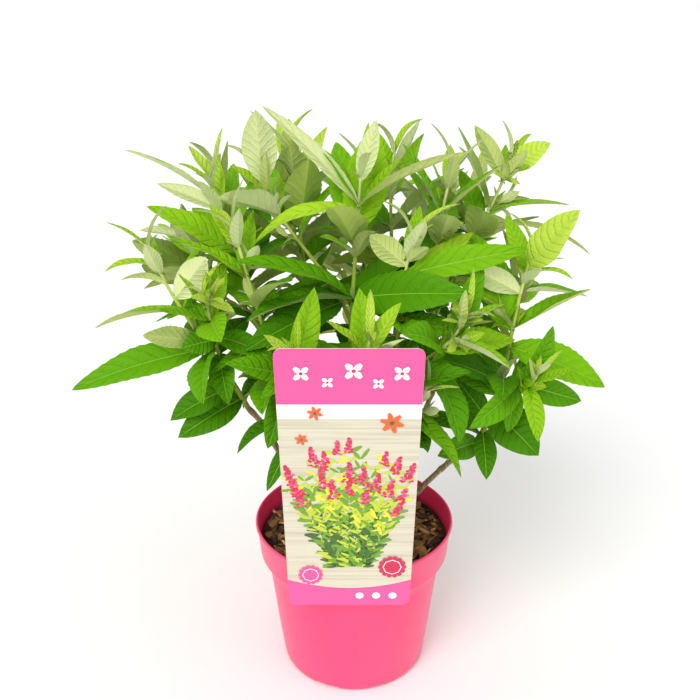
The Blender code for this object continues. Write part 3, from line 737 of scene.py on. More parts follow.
SHOOTS = (
    Shoot("leader", 0, (4, -25, 436), 4, 0.16, 84, 90),
    Shoot("leader", 0.30, (-72, 4, 432), 4, 0.36, 66, 60),
    Shoot("left_front", 0, (-150, -36, 386), 4, 0.06, 64, 10),
    Shoot("left_front", 0.22, (-108, -60, 356), 4, 0.25, 54, 70),
    Shoot("right", 0, (132, -26, 380), 4, 0.08, 66, 8),
    Shoot("right", 0.34, (132, -72, 300), 4, 0.30, 54, 80),
    Shoot("front_left", 0, (-88, -40, 402), 6, 0.12, 66, 30),
    Shoot("front_left", 0.24, (-40, -88, 322), 4, 0.30, 58, 85),
    Shoot("front_right", 0, (42, -38, 394), 5, 0.16, 74, 95),
    Shoot("front_right", 0.25, (78, -64, 340), 5, 0.25, 64, 20),
    Shoot("front", 0, (10, -88, 334), 5, 0.20, 70, 10),
    Shoot("front", 0.30, (48, -80, 290), 3, 0.35, 58, 60),
    Shoot("left", 0, (-106, -4, 424), 5, 0.16, 66, 80),
    Shoot("left", 0.26, (-130, 30, 380), 5, 0.30, 62, 25),
    Shoot("right_upper", 0, (74, 8, 434), 6, 0.20, 70, 0),
    Shoot("right_upper", 0.30, (120, 26, 438), 4, 0.30, 66, 20),
    Shoot("back_right", 0, (32, 54, 440), 6, 0.16, 78, 50),
    Shoot("back_right", 0.25, (76, 98, 396), 4, 0.30, 74, 10),
    Shoot("back_left", 0, (-52, 38, 444), 6, 0.16, 76, 20),
    Shoot("back_left", 0.25, (-58, 108, 402), 5, 0.30, 74, 70),
    Shoot("left_back", 0, (-112, 62, 424), 6, 0.12, 78, 60),
    Shoot("left_back", 0.24, (-152, 88, 352), 5, 0.25, 74, 15),
    Shoot("right_back", 0, (104, 82, 410), 6, 0.14, 70, 35),
    Shoot("right_back", 0.24, (146, 62, 336), 5, 0.25, 64, 75),
    Shoot("back", 0, (12, 114, 412), 6, 0.14, 82, 5),
    Shoot("back", 0.24, (-20, 150, 346), 5, 0.25, 76, 50),
    Shoot("back", 0.40, (62, 146, 344), 4, 0.25, 70, 85),
)

BROAD_LEAVES = (
    Broad("leader", 0, 0.43, (92, -50, 361), 35, 22, 0.75),
    Broad("leader", 0, 0.43, (-89, -50, 378), 24, 44, 0.25),
    Broad("leader", 0, 0.62, (15, -60, 403), 14, 46, -0.3),
    Broad("leader", 0, 0.62, (-25, -50, 397), 15, 30, 0.3),
    Broad("leader", 0, 0.75, (21, 2, 465), 34, 10, 0.9),
    Broad("leader", 0, 0.75, (-14, 12, 461), 28, 12, 0.8),
    Broad("leader", 0, 0.84, (-75, -30, 385), 18, 70, 0.1),
    Broad("leader", 0, 0.87, (-64, -40, 486), 15, 20, -0.5),
    Broad("leader", 0, 0.87, (83, -36, 454), 15, 30, -0.4),
    Broad("leader", 0, 0.97, (15, -34, 476), 15, 6, -0.8),
    Broad("leader", 1, 0.14, (-90, -55, 311), 30, 26, 0.7),
    Broad("leader", 1, 0.94, (-70, -20, 481), 27, 8, -0.85),
    Broad("left_front", 0, 0.38, (-209, -66, 285), 27, 30, 0.6),
    Broad("left_front", 0, 0.42, (-157, -80, 330), 17, 20, -0.7),
    Broad("left_front", 0, 0.44, (-123, -60, 345), 11, 10, 0.5),
    Broad("left_front", 0, 0.70, (-104, -60, 385), 24, 12, -0.95),
    Broad("left_front", 0, 0.78, (-169, -50, 365), 11, 60, -0.3),
    Broad("left_front", 0, 0.88, (-180, -50, 371), 13, 70, 0.2),
    Broad("left_front", 0, 0.14, (-140, -58, 256), 28, 24, 0.5),
    Broad("left_front", 0, 0.06, (-127, -74, 247), 27, 24, 0.8),
    Broad("left_front", 1, 0.45, (-130, -44, 323), 20, 20, 0.7),
    Broad("left_front", 1, 0.72, (-92, -92, 333), 26, 30, 0.9),
    Broad("left", 0, 0.93, (-175, 18, 447), 19, 24, -0.3),
    Broad("left", 0, 0.90, (-147, 0, 427), 14, 16, -0.5),
    Broad("left", 0, 0.70, (-153, -20, 412), 21, 30, 0.5),
    Broad("left", 0, 0.50, (-54, -25, 336), 22, 24, 0.6),
    Broad("left", 1, 0.93, (-175, 44, 378), 16, 20, -0.4),
    Broad("left_back", 1, 0.30, (-168, 40, 300), 15, 30, 0.4),
    Broad("left_back", 1, 0.60, (-162, 60, 295), 20, 20, 0.7),
    Broad("back_left", 0, 0.82, (-42, 22, 457), 29, 8, -0.8),
    Broad("front_left", 0, 0.20, (-87, -75, 302), 22, 36, 0.6),
    Broad("front_left", 0, 0.04, (-68, -66, 199), 14, 30, 0.5),
    Broad("right", 0, 0.54, (191, -45, 278), 31, 32, 0.6),
    Broad("right", 0, 0.38, (136, -55, 307), 16, 20, 0.4),
    Broad("right", 0, 0.36, (42, -42, 305), 23, 26, 0.4),
    Broad("right", 0, 0.30, (65, 8, 295), 28, 20, 0.7),
    Broad("right", 0, 0.22, (142, -58, 226), 36, 34, 0.9),
    Broad("right", 0, 0.16, (76, -12, 277), 21, 20, 0.7),
    Broad("right", 0, 0.12, (52, -56, 266), 16, 34, 0.2),
    Broad("right", 0, 0.10, (102, -62, 207), 19, 30, 0.9),
    Broad("right", 0, 0.04, (63, -62, 228), 22, 30, 0.8),
    Broad("right", 0, 0.62, (89, -2, 388), 32, 12, 0.85),
    Broad("right", 0, 0.80, (81, -42, 372), 20, 24, -0.7),
    Broad("right", 0, 0.86, (156, -55, 367), 11, 80, 0.2),
    Broad("right", 0, 0.92, (166, -40, 415), 28, 10, 0.8),
    Broad("right", 0, 0.92, (108, -30, 405), 14, 14, 0.6),
    Broad("right_upper", 1, 0.60, (190, 28, 362), 15, 54, -0.2),
    Broad("right_upper", 1, 0.62, (82, 40, 429), 19, 12, 0.6),
    Broad("right_upper", 1, 0.90, (88, 5, 467), 15, 14, -0.6),
    Broad("right_upper", 1, 0.94, (151, 18, 448), 21, 18, 0.5),
    Broad("back_right", 1, 0.83, (41, 80, 423), 21, 16, 0.5),
    Broad("back_right", 1, 0.83, (116, 80, 416), 14, 20, -0.3),
    Broad("back_right", 1, 0.78, (140, 60, 408), 16, 34, -0.3),
    Broad("front_right", 0, 0.58, (74, -60, 326), 20, 26, 0.7),
    Broad("front_right", 0, 0.82, (127, -36, 384), 22, 24, 0.8),
    Broad("front_right", 0, 0.86, (10, -52, 399), 19, 26, -0.8),
    Broad("front_right", 0, 0.88, (54, -52, 396), 11, 14, -0.6),
)


def polar(radius: float, angle: float, z: float) -> Vector:
    """A point from its radius, angle and height."""
    return Vector((radius * math.cos(angle), radius * math.sin(angle), z))


def cubic(ends: Sequence[Vector], t: float) -> Vector:
    """A point on the cubic curve of four points."""
    s = 1 - t
    a, b, c, d = ends
    return a * s ** 3 + b * (3 * s * s * t) + c * (3 * s * t * t) + d * t ** 3


def along(points: Sequence[Vector], share: float) -> tuple[Vector, Vector]:
    """Find a place on a line of points.

    Args:
        points: the line.
        share: how far along it, from 0 to 1.

    Returns:
        The point there and the line's direction.
    """
    place = min(max(share, 0), 0.9999) * (len(points) - 1)
    low = int(place)
    rest = place - low
    spot = points[low].lerp(points[low + 1], rest)
    before = (points[low + 1] - points[max(low - 1, 0)]).normalized()
    after = (points[min(low + 2, len(points) - 1)] - points[low]).normalized()
    return spot, before.lerp(after, rest).normalized()


@dataclass
class Limbs:
    """The trunk, the boughs and the leafy stems, as lines and radii."""

    foot: float = 120.3 * MM
    trunk_radii: tuple[float, ...] = (10.5, 8.2, 7.2, 6.6, 6.2, 5.6)
    trunk_rise: float = 9 * MM
    lean: tuple[float, float] = (-0.03, -0.02)
    bough_root: float = 2.7 * MM
    bough_tip: float = 2.0 * MM
    neck: float = 2.5 * MM
    stem_root: float = 2.3 * MM
    stem_tip: float = 0.9 * MM
    stems: dict[str, list[tuple[Shoot, list[Vector], Callable[[float], Vector]]]] = field(
        default_factory=dict
    )

    def top(self) -> float:
        """Height of the trunk's top."""
        return self.foot + self.trunk_rise * (len(self.trunk_radii) - 1)

    def trunk_centre(self, z: float) -> Vector:
        """The trunk's axis at a height."""
        rise = z - self.foot
        return Vector((self.lean[0] * rise, self.lean[1] * rise, z))

    def trunk_radius(self, z: float) -> float:
        """The trunk's radius at a height."""
        last = len(self.trunk_radii) - 1.001
        place = min(max((z - self.foot) / self.trunk_rise, 0), last)
        low = int(place)
        share = place - low
        return (self.trunk_radii[low] * (1 - share) + self.trunk_radii[low + 1] * share) * MM

    def bough_line(self, row: Bough, steps: int = 5) -> list[Vector]:
        """The centre line of a bough.

        Args:
            row: the bough.
            steps: pieces of its curve beyond the straight neck.

        Returns:
            Its points, from the trunk to its tip.
        """
        tip = Vector(row.tip) * MM
        if row.root_z * MM + self.bough_root < self.top():
            out = polar(1, math.radians(row.azimuth), 0)
            skin = self.trunk_radius(row.root_z * MM - self.bough_root)
            start = self.trunk_centre(row.root_z * MM) + out * (skin + CLEAR)
        else:
            out = Vector((0, 0, 1))
            start = self.trunk_centre(self.top() + CLEAR)
        neck = start + out * self.neck
        reach = (tip - neck).length
        level = math.hypot(tip.x, tip.y)
        lift = Vector((tip.x, tip.y, max(row.rise * level, 20 * MM))).normalized()
        ends = (neck, neck + out * reach * 0.28, tip - lift * reach * 0.3, tip)
        return [start] + [cubic(ends, k / steps) for k in range(steps + 1)]

    def bough_radii(self, count: int) -> list[float]:
        """Radii along a bough, from its root to its tip."""
        thin = self.bough_tip - self.bough_root
        return [self.bough_root + thin * k / (count - 1) for k in range(count)]

    def stem_ends(self, start: Vector, heading: Vector, tip: Vector) -> tuple[Vector, ...]:
        """The four points of a leafy stem's curve, which turns up to its tip."""
        reach = (tip - start).length
        out = Vector((tip.x, tip.y, 0))
        lift = (out.normalized() * 0.28 + Vector((0, 0, 1))).normalized()
        first = start + heading.normalized() * reach * 0.36
        return start, first, tip - lift * reach * 0.34, tip

    def stem_start(self, line: Sequence[Vector], tip: Vector) -> tuple[Vector, Vector]:
        """Where a main stem starts beyond its bough's tip, and its first heading."""
        way = (line[-1] - line[-2]).normalized()
        aim = (tip - line[-1]).normalized()
        heading = (way + aim + Vector((0, 0, 0.5))).normalized()
        turn = math.sqrt(max(0.0, 1 - way.dot(heading) ** 2))
        return line[-1] + way * (CLEAR + self.stem_root * turn), heading

    def grow(self) -> None:
        """Work out every stem, the main one of each bough before its forks."""
        for row in SHOOTS:
            line = self.bough_line(next(b for b in BOUGHS if b.name == row.bough))
            tip = Vector(row.tip) * MM
            if row.fork == 0:
                start, heading = self.stem_start(line, tip)
            else:
                start, ahead = along(self.stems[row.bough][0][1], row.fork)
                heading = ahead + (tip - start).normalized() * 1.4
            ends = self.stem_ends(start, heading, tip)
            points = [cubic(ends, k / 7) for k in range(8)]
            rule = (lambda t, ends=ends: cubic(ends, t))
            self.stems.setdefault(row.bough, []).append((row, points, rule))

    def stem_radii(self, row: Shoot, count: int) -> list[float]:
        """Radii along a stem, from its root to its tip."""
        root = self.stem_root if row.fork == 0 else self.stem_root * 0.8
        return [root + (self.stem_tip - root) * k / (count - 1) for k in range(count)]


def tube(points: Sequence[Vector], radii: Sequence[float], sides: int) -> Solid:
    """Points and faces of a closed tube, for the tests of what is in the way."""
    verts: list[Vector] = []
    faces: list[tuple[int, ...]] = []
    side = (points[1] - points[0]).cross(Vector((0.31, 0.87, 0.05))).normalized()
    for k, spot in enumerate(points):
        ahead = (points[min(k + 1, len(points) - 1)] - points[max(k - 1, 0)]).normalized()
        side = (side - ahead * side.dot(ahead)).normalized()
        other = ahead.cross(side)
        for j in range(sides):
            angle = 2 * math.pi * j / sides
            verts.append(spot + (side * math.cos(angle) + other * math.sin(angle)) * radii[k])
        if k:
            faces += ring_faces((k - 1) * sides, k * sides, sides)
    faces.append(tuple(range(sides - 1, -1, -1)))
    faces.append(tuple(range(len(verts) - sides, len(verts))))
    return verts, faces


def ring_faces(low: int, high: int, sides: int) -> list[tuple[int, ...]]:
    """Quads between two rings of points."""
    return [
        (low + k, low + (k + 1) % sides, high + (k + 1) % sides, high + k)
        for k in range(sides)
    ]


@dataclass
class LeafRule:
    """Where leaves stand on a stem and how big and bent they are."""

    seed: int = 41
    sink: float = 0.5 * MM
    petiole: float = 1.1 * MM
    keel_share: float = 1 / 70
    keel_least: float = 0.7 * MM
    skin: float = 0.45 * MM
    long_leaf: float = 72 * MM
    short_leaf: float = 42 * MM
    fold: float = math.radians(14)
    front: Vector = field(default_factory=lambda: Vector((0, -0.93, 0.37)))

    def pair_share(self, row: Shoot, index: int) -> float:
        """Where a pair of leaves stands along its stem: closer toward the tip."""
        step = index / row.pairs
        return row.bare + (0.985 - row.bare) * (1 - (1 - step) ** 1.35)

    def leaf_at(
        self, row: Shoot, points: Sequence[Vector], index: int, side: int, dice: random.Random
    ) -> Leaf:
        """One leaf of a pair, from its place on the shoot."""
        age = index / max(row.pairs - 1, 1)
        spot, ahead = along(points, self.pair_share(row, index))
        turn = math.radians(row.phase + 90 * index + 180 * side + dice.uniform(-9, 9))
        spread = math.radians(76 - 44 * age ** 1.3 + dice.uniform(-9, 9))
        size = 0.70 + 0.42 * math.sin(math.pi * min(0.12 + 0.74 * age, 1)) - 0.28 * age ** 3
        length = row.leaf * MM * size * dice.uniform(0.88, 1.1)
        width = length * (0.42 - 0.10 * age + dice.uniform(-0.03, 0.03))
        droop = math.radians(46 - 44 * age + dice.uniform(-14, 14))
        fold = math.radians(16 + dice.uniform(-6, 10))
        twist = math.radians(dice.uniform(-22, 22))
        return self.leaf_on(spot, ahead, turn, spread, (length, width, droop, fold, twist))

    def leaf_on(
        self, spot: Vector, ahead: Vector, turn: float, spread: float, size: Sequence[float]
    ) -> Leaf:
        """A leaf from its turn about the stem and its spread from it."""
        level = Vector((1, 0, 0)) - ahead * ahead.x
        level.normalize()
        other = ahead.cross(level)
        out = level * math.cos(turn) + other * math.sin(turn)
        heading = ahead * math.cos(spread) + out * math.sin(spread)
        face = ahead * math.sin(spread) - out * math.cos(spread)
        return Leaf(spot - heading * self.sink, heading, face, *size)

    def leaf_to(self, spot: Vector, ahead: Vector, row: Broad) -> Leaf:
        """A broad leaf from its stem to its tip, bent down on the way by its droop."""
        droop = math.radians(row.droop)
        chord = Vector(row.tip) * MM - spot
        way = chord.normalized()
        upper = ahead * (1 - abs(row.look)) + self.front * row.look
        face = (upper - way * upper.dot(way)).normalized()
        half = max(droop / 2, 1e-3)
        length = chord.length * half / math.sin(half)
        heading = way * math.cos(half) + face * math.sin(half)
        upper = face * math.cos(half) - way * math.sin(half)
        root = spot - heading * self.sink
        return Leaf(root, heading, upper, length, row.width * MM, droop, self.fold, 0.0)

    def tip_leaves(
        self, row: Shoot, points: Sequence[Vector], dice: random.Random
    ) -> list[tuple[str, Vector, Leaf]]:
        """The two slender upright leaves at the end of a shoot."""
        made = []
        for side in (0, 1):
            spot, ahead = along(points, 0.985)
            turn = math.radians(
                row.phase + 90 * row.pairs + 180 * side + dice.uniform(-12, 12)
            )
            spread = math.radians(dice.uniform(12, 22))
            length = row.leaf * MM * dice.uniform(0.5, 0.62)
            width = length * dice.uniform(0.15, 0.2)
            size = (length, width, math.radians(dice.uniform(24, 68)), math.radians(24), 0.0)
            made.append((row.bough, ahead, self.leaf_on(spot, ahead, turn, spread, size)))
        return made

    def axes(self, leaf: Leaf, t: float) -> tuple[Vector, Vector, Vector]:
        """Middle, sideways and upward directions of a leaf at a share of its length."""
        bend = leaf.droop if abs(leaf.droop) > 1e-4 else 1e-4
        angle = bend * t
        middle = leaf.root + leaf.along * (leaf.length * math.sin(angle) / bend)
        middle -= leaf.face * (leaf.length * (1 - math.cos(angle)) / bend)
        ahead = leaf.along * math.cos(angle) - leaf.face * math.sin(angle)
        up = leaf.face * math.cos(angle) + leaf.along * math.sin(angle)
        side = ahead.cross(up)
        roll = leaf.twist * t
        return (
            middle,
            side * math.cos(roll) + up * math.sin(roll),
            up * math.cos(roll) - side * math.sin(roll),
        )

    def half_width(self, leaf: Leaf, t: float) -> float:
        """Half the width of the blade at a share of its length."""
        blade = math.sin(math.pi * max(t, 0.0) ** 0.85) ** 0.8 if t < 1 else 0.0
        return max(leaf.width / 2 * blade, self.petiole * (1 - t) ** 2)

    def stations(self, leaf: Leaf) -> tuple[float, ...]:
        """Shares of the length where the model's blade has a section."""
        if leaf.length > self.long_leaf:
            return (0.0, 0.22, 0.48, 0.77)
        return (0.0, 0.30, 0.66) if leaf.length > self.short_leaf else (0.0, 0.42)

    def solid(self, leaf: Leaf) -> Solid:
        """The model's closed blade: two edges and a keel under the midrib."""
        verts: list[Vector] = []
        faces: list[tuple[int, ...]] = []
        keel = max(leaf.length * self.keel_share, self.keel_least)
        for t in self.stations(leaf):
            middle, side, up = self.axes(leaf, t)
            half = self.half_width(leaf, t)
            lift = half * math.sin(leaf.fold) + keel * 0.25
            reach = half * math.cos(leaf.fold)
            verts += [
                middle - side * reach + up * lift,
                middle + side * reach + up * lift,
                middle - up * keel * 0.75,
            ]
        for low in range(0, len(verts) - 3, 3):
            faces += ring_faces(low, low + 3, 3)
        end = len(verts)
        verts.append(self.axes(leaf, 1.0)[0])
        faces += [(0, 2, 1), (end - 3, end - 2, end), (end - 2, end - 1, end)]
        faces.append((end - 1, end - 3, end))
        return verts, faces

    def test_tree(self, leaf: Leaf, start: float = 0.0) -> BVHTree:
        """A search tree of the blade with a thin skin of air around it."""
        verts: list[Vector] = []
        faces: list[tuple[int, ...]] = []
        shares = [max(t, start) for t in self.stations(leaf)] + [1.0]
        for t in shares:
            middle, side, up = self.axes(leaf, t)
            half = self.half_width(leaf, t) + self.skin
            lift = half * math.sin(leaf.fold)
            reach = half * math.cos(leaf.fold)
            for edge in (-1, 1):
                rim = middle + side * reach * edge + up * lift
                verts += [rim + up * self.skin, rim - up * self.skin]
            verts.append(middle - up * (leaf.length * self.keel_share + self.skin))
        for low in range(0, len(verts) - 5, 5):
            a, b = low, low + 5
            for p, q in ((0, 1), (1, 4), (4, 3), (3, 2), (2, 0)):
                faces.append((a + p, a + q, b + q, b + p))
        return BVHTree.FromPolygons(verts, faces)

    def nudged(self, leaf: Leaf, ahead: Vector, swing: float, lift: float, scale: float) -> Leaf:
        """The same leaf swung about its stem, lifted toward it and scaled."""
        turned = Matrix.Rotation(math.radians(swing), 3, ahead)
        heading = turned @ leaf.along
        face = turned @ leaf.face
        tilt = Matrix.Rotation(math.radians(lift), 3, heading.cross(face))
        return leaf._replace(
            along=tilt @ heading,
            face=tilt @ face,
            length=leaf.length * scale,
            width=leaf.width * scale,
        )


class Room:
    """What stands in the crown so far, and whether a new leaf is clear of it."""

    def __init__(self, rule: LeafRule) -> None:
        """Start empty, for leaves of one rule."""
        self.rule = rule
        self.items: list[tuple[str, Vector, float, BVHTree]] = []

    def add(self, owner: str, solid: Solid) -> None:
        """Take in a solid."""
        centre = sum(solid[0], Vector()) / len(solid[0])
        radius = max((point - centre).length for point in solid[0])
        self.items.append((owner, centre, radius, BVHTree.FromPolygons(*solid)))

    def is_free(self, leaf: Leaf, owner: str, strict: bool) -> bool:
        """Whether a leaf touches nothing: its own mass is tested only when strict."""
        spots = [self.rule.axes(leaf, t)[0] for t in (0, 0.5, 1)]
        centre = sum(spots, Vector()) / 3
        radius = max((spot - centre).length for spot in spots) + leaf.width / 2
        whole, outer = self.rule.test_tree(leaf), None
        for other, place, size, tree in self.items:
            if (place - centre).length > radius + size:
                continue
            if other != owner:
                if whole.overlap(tree):
                    return False
            elif strict:
                outer = outer or self.rule.test_tree(leaf, 0.16)
                if outer.overlap(tree):
                    return False
        return True

    def fit(self, leaf: Leaf, ahead: Vector, owner: str) -> Leaf | None:
        """Find room for a leaf.

        Args:
            leaf: the leaf as the rule gives it.
            ahead: its stem's direction, which it may swing about.
            owner: the mass of foliage that it belongs to.

        Returns:
            The leaf, or a near copy of it that is clear of the rest, or nothing.
        """
        for strict in (True, False):
            for scale in (1.0, 0.84, 0.68):
                for lift in (0, 14, -14, 26):
                    for swing in (0, 13, -13, 26, -26, 40, -40):
                        tried = self.rule.nudged(leaf, ahead, swing, lift, scale)
                        if self.is_free(tried, owner, strict):
                            return tried
        return None


class Side(enum.Enum):
    """The kinds of leaf, by how many rows of faces and faces across a half they have."""

    BROAD = (28, 2)
    COMMON = (10, 2)
    SMALL = (5, 1)


@dataclass
class PlacedLeaf:
    """A leaf in its place with how it is drawn.

    Attributes:
        leaf: the leaf.
        kind: how finely it is drawn.
        age: 0 for the oldest and darkest, 1 for the youngest at a tip.
        wave: height of the margin's waves as a share of the half width.
        phase: where the waves start.
    """

    leaf: Leaf
    kind: Side
    age: float
    wave: float = 0.08
    phase: float = 0.0


@dataclass
class Foliage:
    """The masses of leaves, with their stems, leaflets and outgrowths."""

    limbs: Limbs
    rule: LeafRule = field(default_factory=LeafRule)
    rib: float = 0.42 * MM
    thickness: float = 0.35 * MM
    twig_share: float = 0.2
    leaflet_share: float = 0.45
    tops: tuple[str, ...] = ("458104", "519006", "60A008", "73AF0C", "8BBF18", "A4CD2C", "BCDA4C")
    unders: tuple[str, ...] = ("ABC648", "BED364", "CEDB82", "DDE6A6")
    ribs: tuple[str, ...] = ("82BA26", "BBD452", "DDE68C")
    leaves: dict[str, list[PlacedLeaf]] = field(default_factory=dict)
    twigs: dict[str, list[Leaf]] = field(default_factory=dict)

    def room(self) -> Room:
        """What is in the way before any leaf is placed."""
        room = Room(self.rule)
        for name in ("pot", "soil", "label_card", "trunk"):
            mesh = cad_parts[name].data
            points = [vert.co.copy() for vert in mesh.vertices]
            room.add(name, (points, [tuple(face.vertices) for face in mesh.polygons]))
        for row in BOUGHS:
            line = self.limbs.bough_line(row)
            room.add(f"bough_{row.name}", tube(line, self.limbs.bough_radii(len(line)), 5))
        for name, rows in self.limbs.stems.items():
            for row, points, _ in rows:
                radii = self.limbs.stem_radii(row, len(points))
                room.add(name, tube(points, radii, 3))
        return room

    def jobs(self) -> list[tuple[str, Vector, Leaf, float]]:
        """The leaves to place, in order: the mass, the stem's direction, the leaf, its age."""
        made = []
        for row in BROAD_LEAVES:
            points = self.limbs.stems[row.bough][row.shoot][1]
            spot, ahead = along(points, row.share)
            made.append((row.bough, ahead, self.rule.leaf_to(spot, ahead, row), row.share))
        for number, row in enumerate(SHOOTS):
            points = next(p for r, p, _ in self.limbs.stems[row.bough] if r is row)
            dice = random.Random(self.rule.seed + number)
            for index in range(row.pairs):
                share = self.rule.pair_share(row, index)
                for side in (0, 1):
                    leaf = self.rule.leaf_at(row, points, index, side, dice)
                    made.append((row.bough, along(points, share)[1], leaf, share))
            for bough, ahead, leaf in self.rule.tip_leaves(row, points, dice):
                made.append((bough, ahead, leaf, 1.0))
        return made

    def grow(self) -> None:
        """Place the model's leaves first, then the small ones of this scene alone."""
        room = self.room()
        dice = random.Random(self.rule.seed)
        for number, (owner, ahead, leaf, share) in enumerate(self.jobs()):
            placed = room.fit(leaf, ahead, owner)
            if placed is None:
                continue
            room.add(owner, self.rule.solid(placed))
            kind = Side.BROAD if placed.length > 64 * MM else Side.COMMON
            age = min(max(share + dice.uniform(-0.16, 0.12), 0), 1)
            wave = dice.uniform(0.03, 0.11)
            self.leaves.setdefault(owner, []).append(
                PlacedLeaf(placed, kind, age, wave, dice.uniform(0, 6))
            )
        self.grow_side_twigs(room)
        self.grow_leaflets(room)

    def grow_side_twigs(self, room: Room) -> None:
        """Add fine side twigs in the axils of the leaves, each with its own small pairs."""
        for number, row in enumerate(SHOOTS):
            points = next(p for r, p, _ in self.limbs.stems[row.bough] if r is row)
            dice = random.Random(self.rule.seed * 13 + number)
            for index in range(1, row.pairs):
                for side in (0, 1):
                    share = self.rule.pair_share(row, index)
                    twig = self.side_twig(row, points, (share, index, side), dice)
                    if dice.random() < self.twig_share and room.is_free(twig, row.bough, False):
                        self.twigs.setdefault(row.bough, []).append(twig)
                        self.clothe_twig(twig, row.bough, share, room, dice)

    def side_twig(
        self,
        row: Shoot,
        points: Sequence[Vector],
        where: tuple[float, int, int],
        dice: random.Random,
    ) -> Leaf:
        """The line of a side twig, kept as a very narrow leaf.

        Args:
            row: the stem that carries it.
            points: the stem's line.
            where: its share of the stem, the number of its node and its side.
            dice: the stem's dice.

        Returns:
            The twig.
        """
        share, index, side = where
        spot, ahead = along(points, share)
        turn = math.radians(row.phase + 90 * index + 180 * side + dice.uniform(-20, 20))
        spread = math.radians(dice.uniform(32, 52))
        length = dice.uniform(12, 26) * MM * (1 - 0.45 * share)
        size = (length, 1.4 * MM, math.radians(-18), 0.0, 0.0)
        return self.rule.leaf_on(spot, ahead, turn, spread, size)

    def clothe_twig(
        self, twig: Leaf, owner: str, share: float, room: Room, dice: random.Random
    ) -> None:
        """Set two crosswise pairs of small leaves on a side twig and one at its tip."""
        for step, place in enumerate((0.45, 0.72, 0.97)):
            spot = self.rule.axes(twig, place)[0]
            ahead = (spot - self.rule.axes(twig, place - 0.2)[0]).normalized()
            for side in (0, 1):
                turn = math.radians(90 * step + 180 * side + dice.uniform(-25, 25))
                spread = math.radians(dice.uniform(48, 70) - 22 * step)
                length = dice.uniform(12, 22) * MM
                size = (length, length * dice.uniform(0.36, 0.48), dice.uniform(0.1, 0.7),
                        math.radians(16), 0.0)
                leaf = self.rule.leaf_on(spot, ahead, turn, spread, size)
                if room.is_free(leaf, owner, False):
                    age = min(share + 0.2, 1)
                    self.leaves[owner].append(PlacedLeaf(leaf, Side.SMALL, age, 0.05))

    def grow_leaflets(self, room: Room) -> None:
        """Add the small leaves that stand in the axils and at the tips of the stems."""
        for number, row in enumerate(SHOOTS):
            points = next(p for r, p, _ in self.limbs.stems[row.bough] if r is row)
            dice = random.Random(self.rule.seed * 7 + number)
            for index in range(row.pairs + 1):
                share = min(self.rule.pair_share(row, index), 0.985)
                for side in (0, 1):
                    leaf = self.leaflet(row, points, share, index + side / 2, dice)
                    wanted = index == row.pairs or dice.random() < self.leaflet_share
                    if wanted and room.is_free(leaf, row.bough, False):
                        age = min(share + 0.15, 1)
                        self.leaves[row.bough].append(PlacedLeaf(leaf, Side.SMALL, age, 0.05))

    def leaflet(
        self, row: Shoot, points: Sequence[Vector], share: float, turn: float, dice: random.Random
    ) -> Leaf:
        """A small leaf close to its stem, above a leaf of a pair."""
        spot, ahead = along(points, share)
        angle = math.radians(row.phase + 90 * turn * 2 + dice.uniform(-25, 25))
        spread = math.radians(dice.uniform(14, 46))
        length = dice.uniform(9, 24) * MM
        size = (
            length,
            length * dice.uniform(0.24, 0.34),
            math.radians(dice.uniform(-10, 40)),
            math.radians(dice.uniform(14, 30)),
            0.0,
        )
        return self.rule.leaf_on(spot, ahead, angle, spread, size)

    def blade_place(self, placed: PlacedLeaf) -> Place:
        """The rule from a blade mould's points to a leaf in its place.

        Args:
            placed: the leaf.

        Returns:
            The rule for Mould.cast.
        """
        leaf = placed.leaf
        rows = placed.kind.value[0]
        known: dict[float, tuple[Vector, Vector, Vector, float]] = {}
        rib = min(self.rib, leaf.width * 0.05)
        thick = min(self.thickness, leaf.length * 0.01)

        def place(point: Vector) -> Vector:
            t = round(point.y, 4)
            if t not in known:
                known[t] = (*self.rule.axes(leaf, t), self.rule.half_width(leaf, t))
            middle, side, up, half = known[t]
            across = point.x
            if abs(across) < 0.01:
                offset = math.copysign(min(rib * (1.1 - 0.8 * t), half * 0.5), across)
                lift = -0.2 * MM * (1 - t)
                if point.z < 0:
                    lift = -thick - 0.5 * MM * (1 - t)
                if t > 0.999:
                    offset = lift = 0
                return middle + side * offset + up * lift
            out = abs(across)
            if placed.kind is Side.BROAD and out > 0.99:
                half *= 1.0 + (0.04 if round(t * rows) % 2 else -0.015)
            lift = half * out * math.sin(leaf.fold)
            lift += half * 0.20 * math.sin(math.pi * out) * math.cos(leaf.fold)
            swell = math.sin(placed.phase + 11 * t + (1.3 if across > 0 else 0))
            lift += half * placed.wave * out * out * swell
            if point.z < 0:
                lift -= thick
            reach = half * across * math.cos(leaf.fold)
            return middle + side * reach + up * lift

        return place

    def build(self) -> None:
        """Make the leaves and the stems of every mass."""
        moulds = {kind: blade_mould(*kind.value) for kind in Side}
        stem_mould = tube_mould(8, 30)
        twig_mould = tube_mould(6, 5)
        for name, placed in self.leaves.items():
            shape = bmesh.new()
            dice = random.Random(f"{name} leaves")
            for item in placed:
                moulds[item.kind].cast(shape, self.blade_place(item), self.dealt(item, dice))
            self.outgrowths(name, shape, moulds[Side.SMALL])
            piece = finished(shape, f"leaves_{name}", self.leaf_palette())
            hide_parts(f"foliage_{name}")
            self.build_stems(name, stem_mould, twig_mould)
        for mould in (*moulds.values(), stem_mould, twig_mould):
            mould.drop()

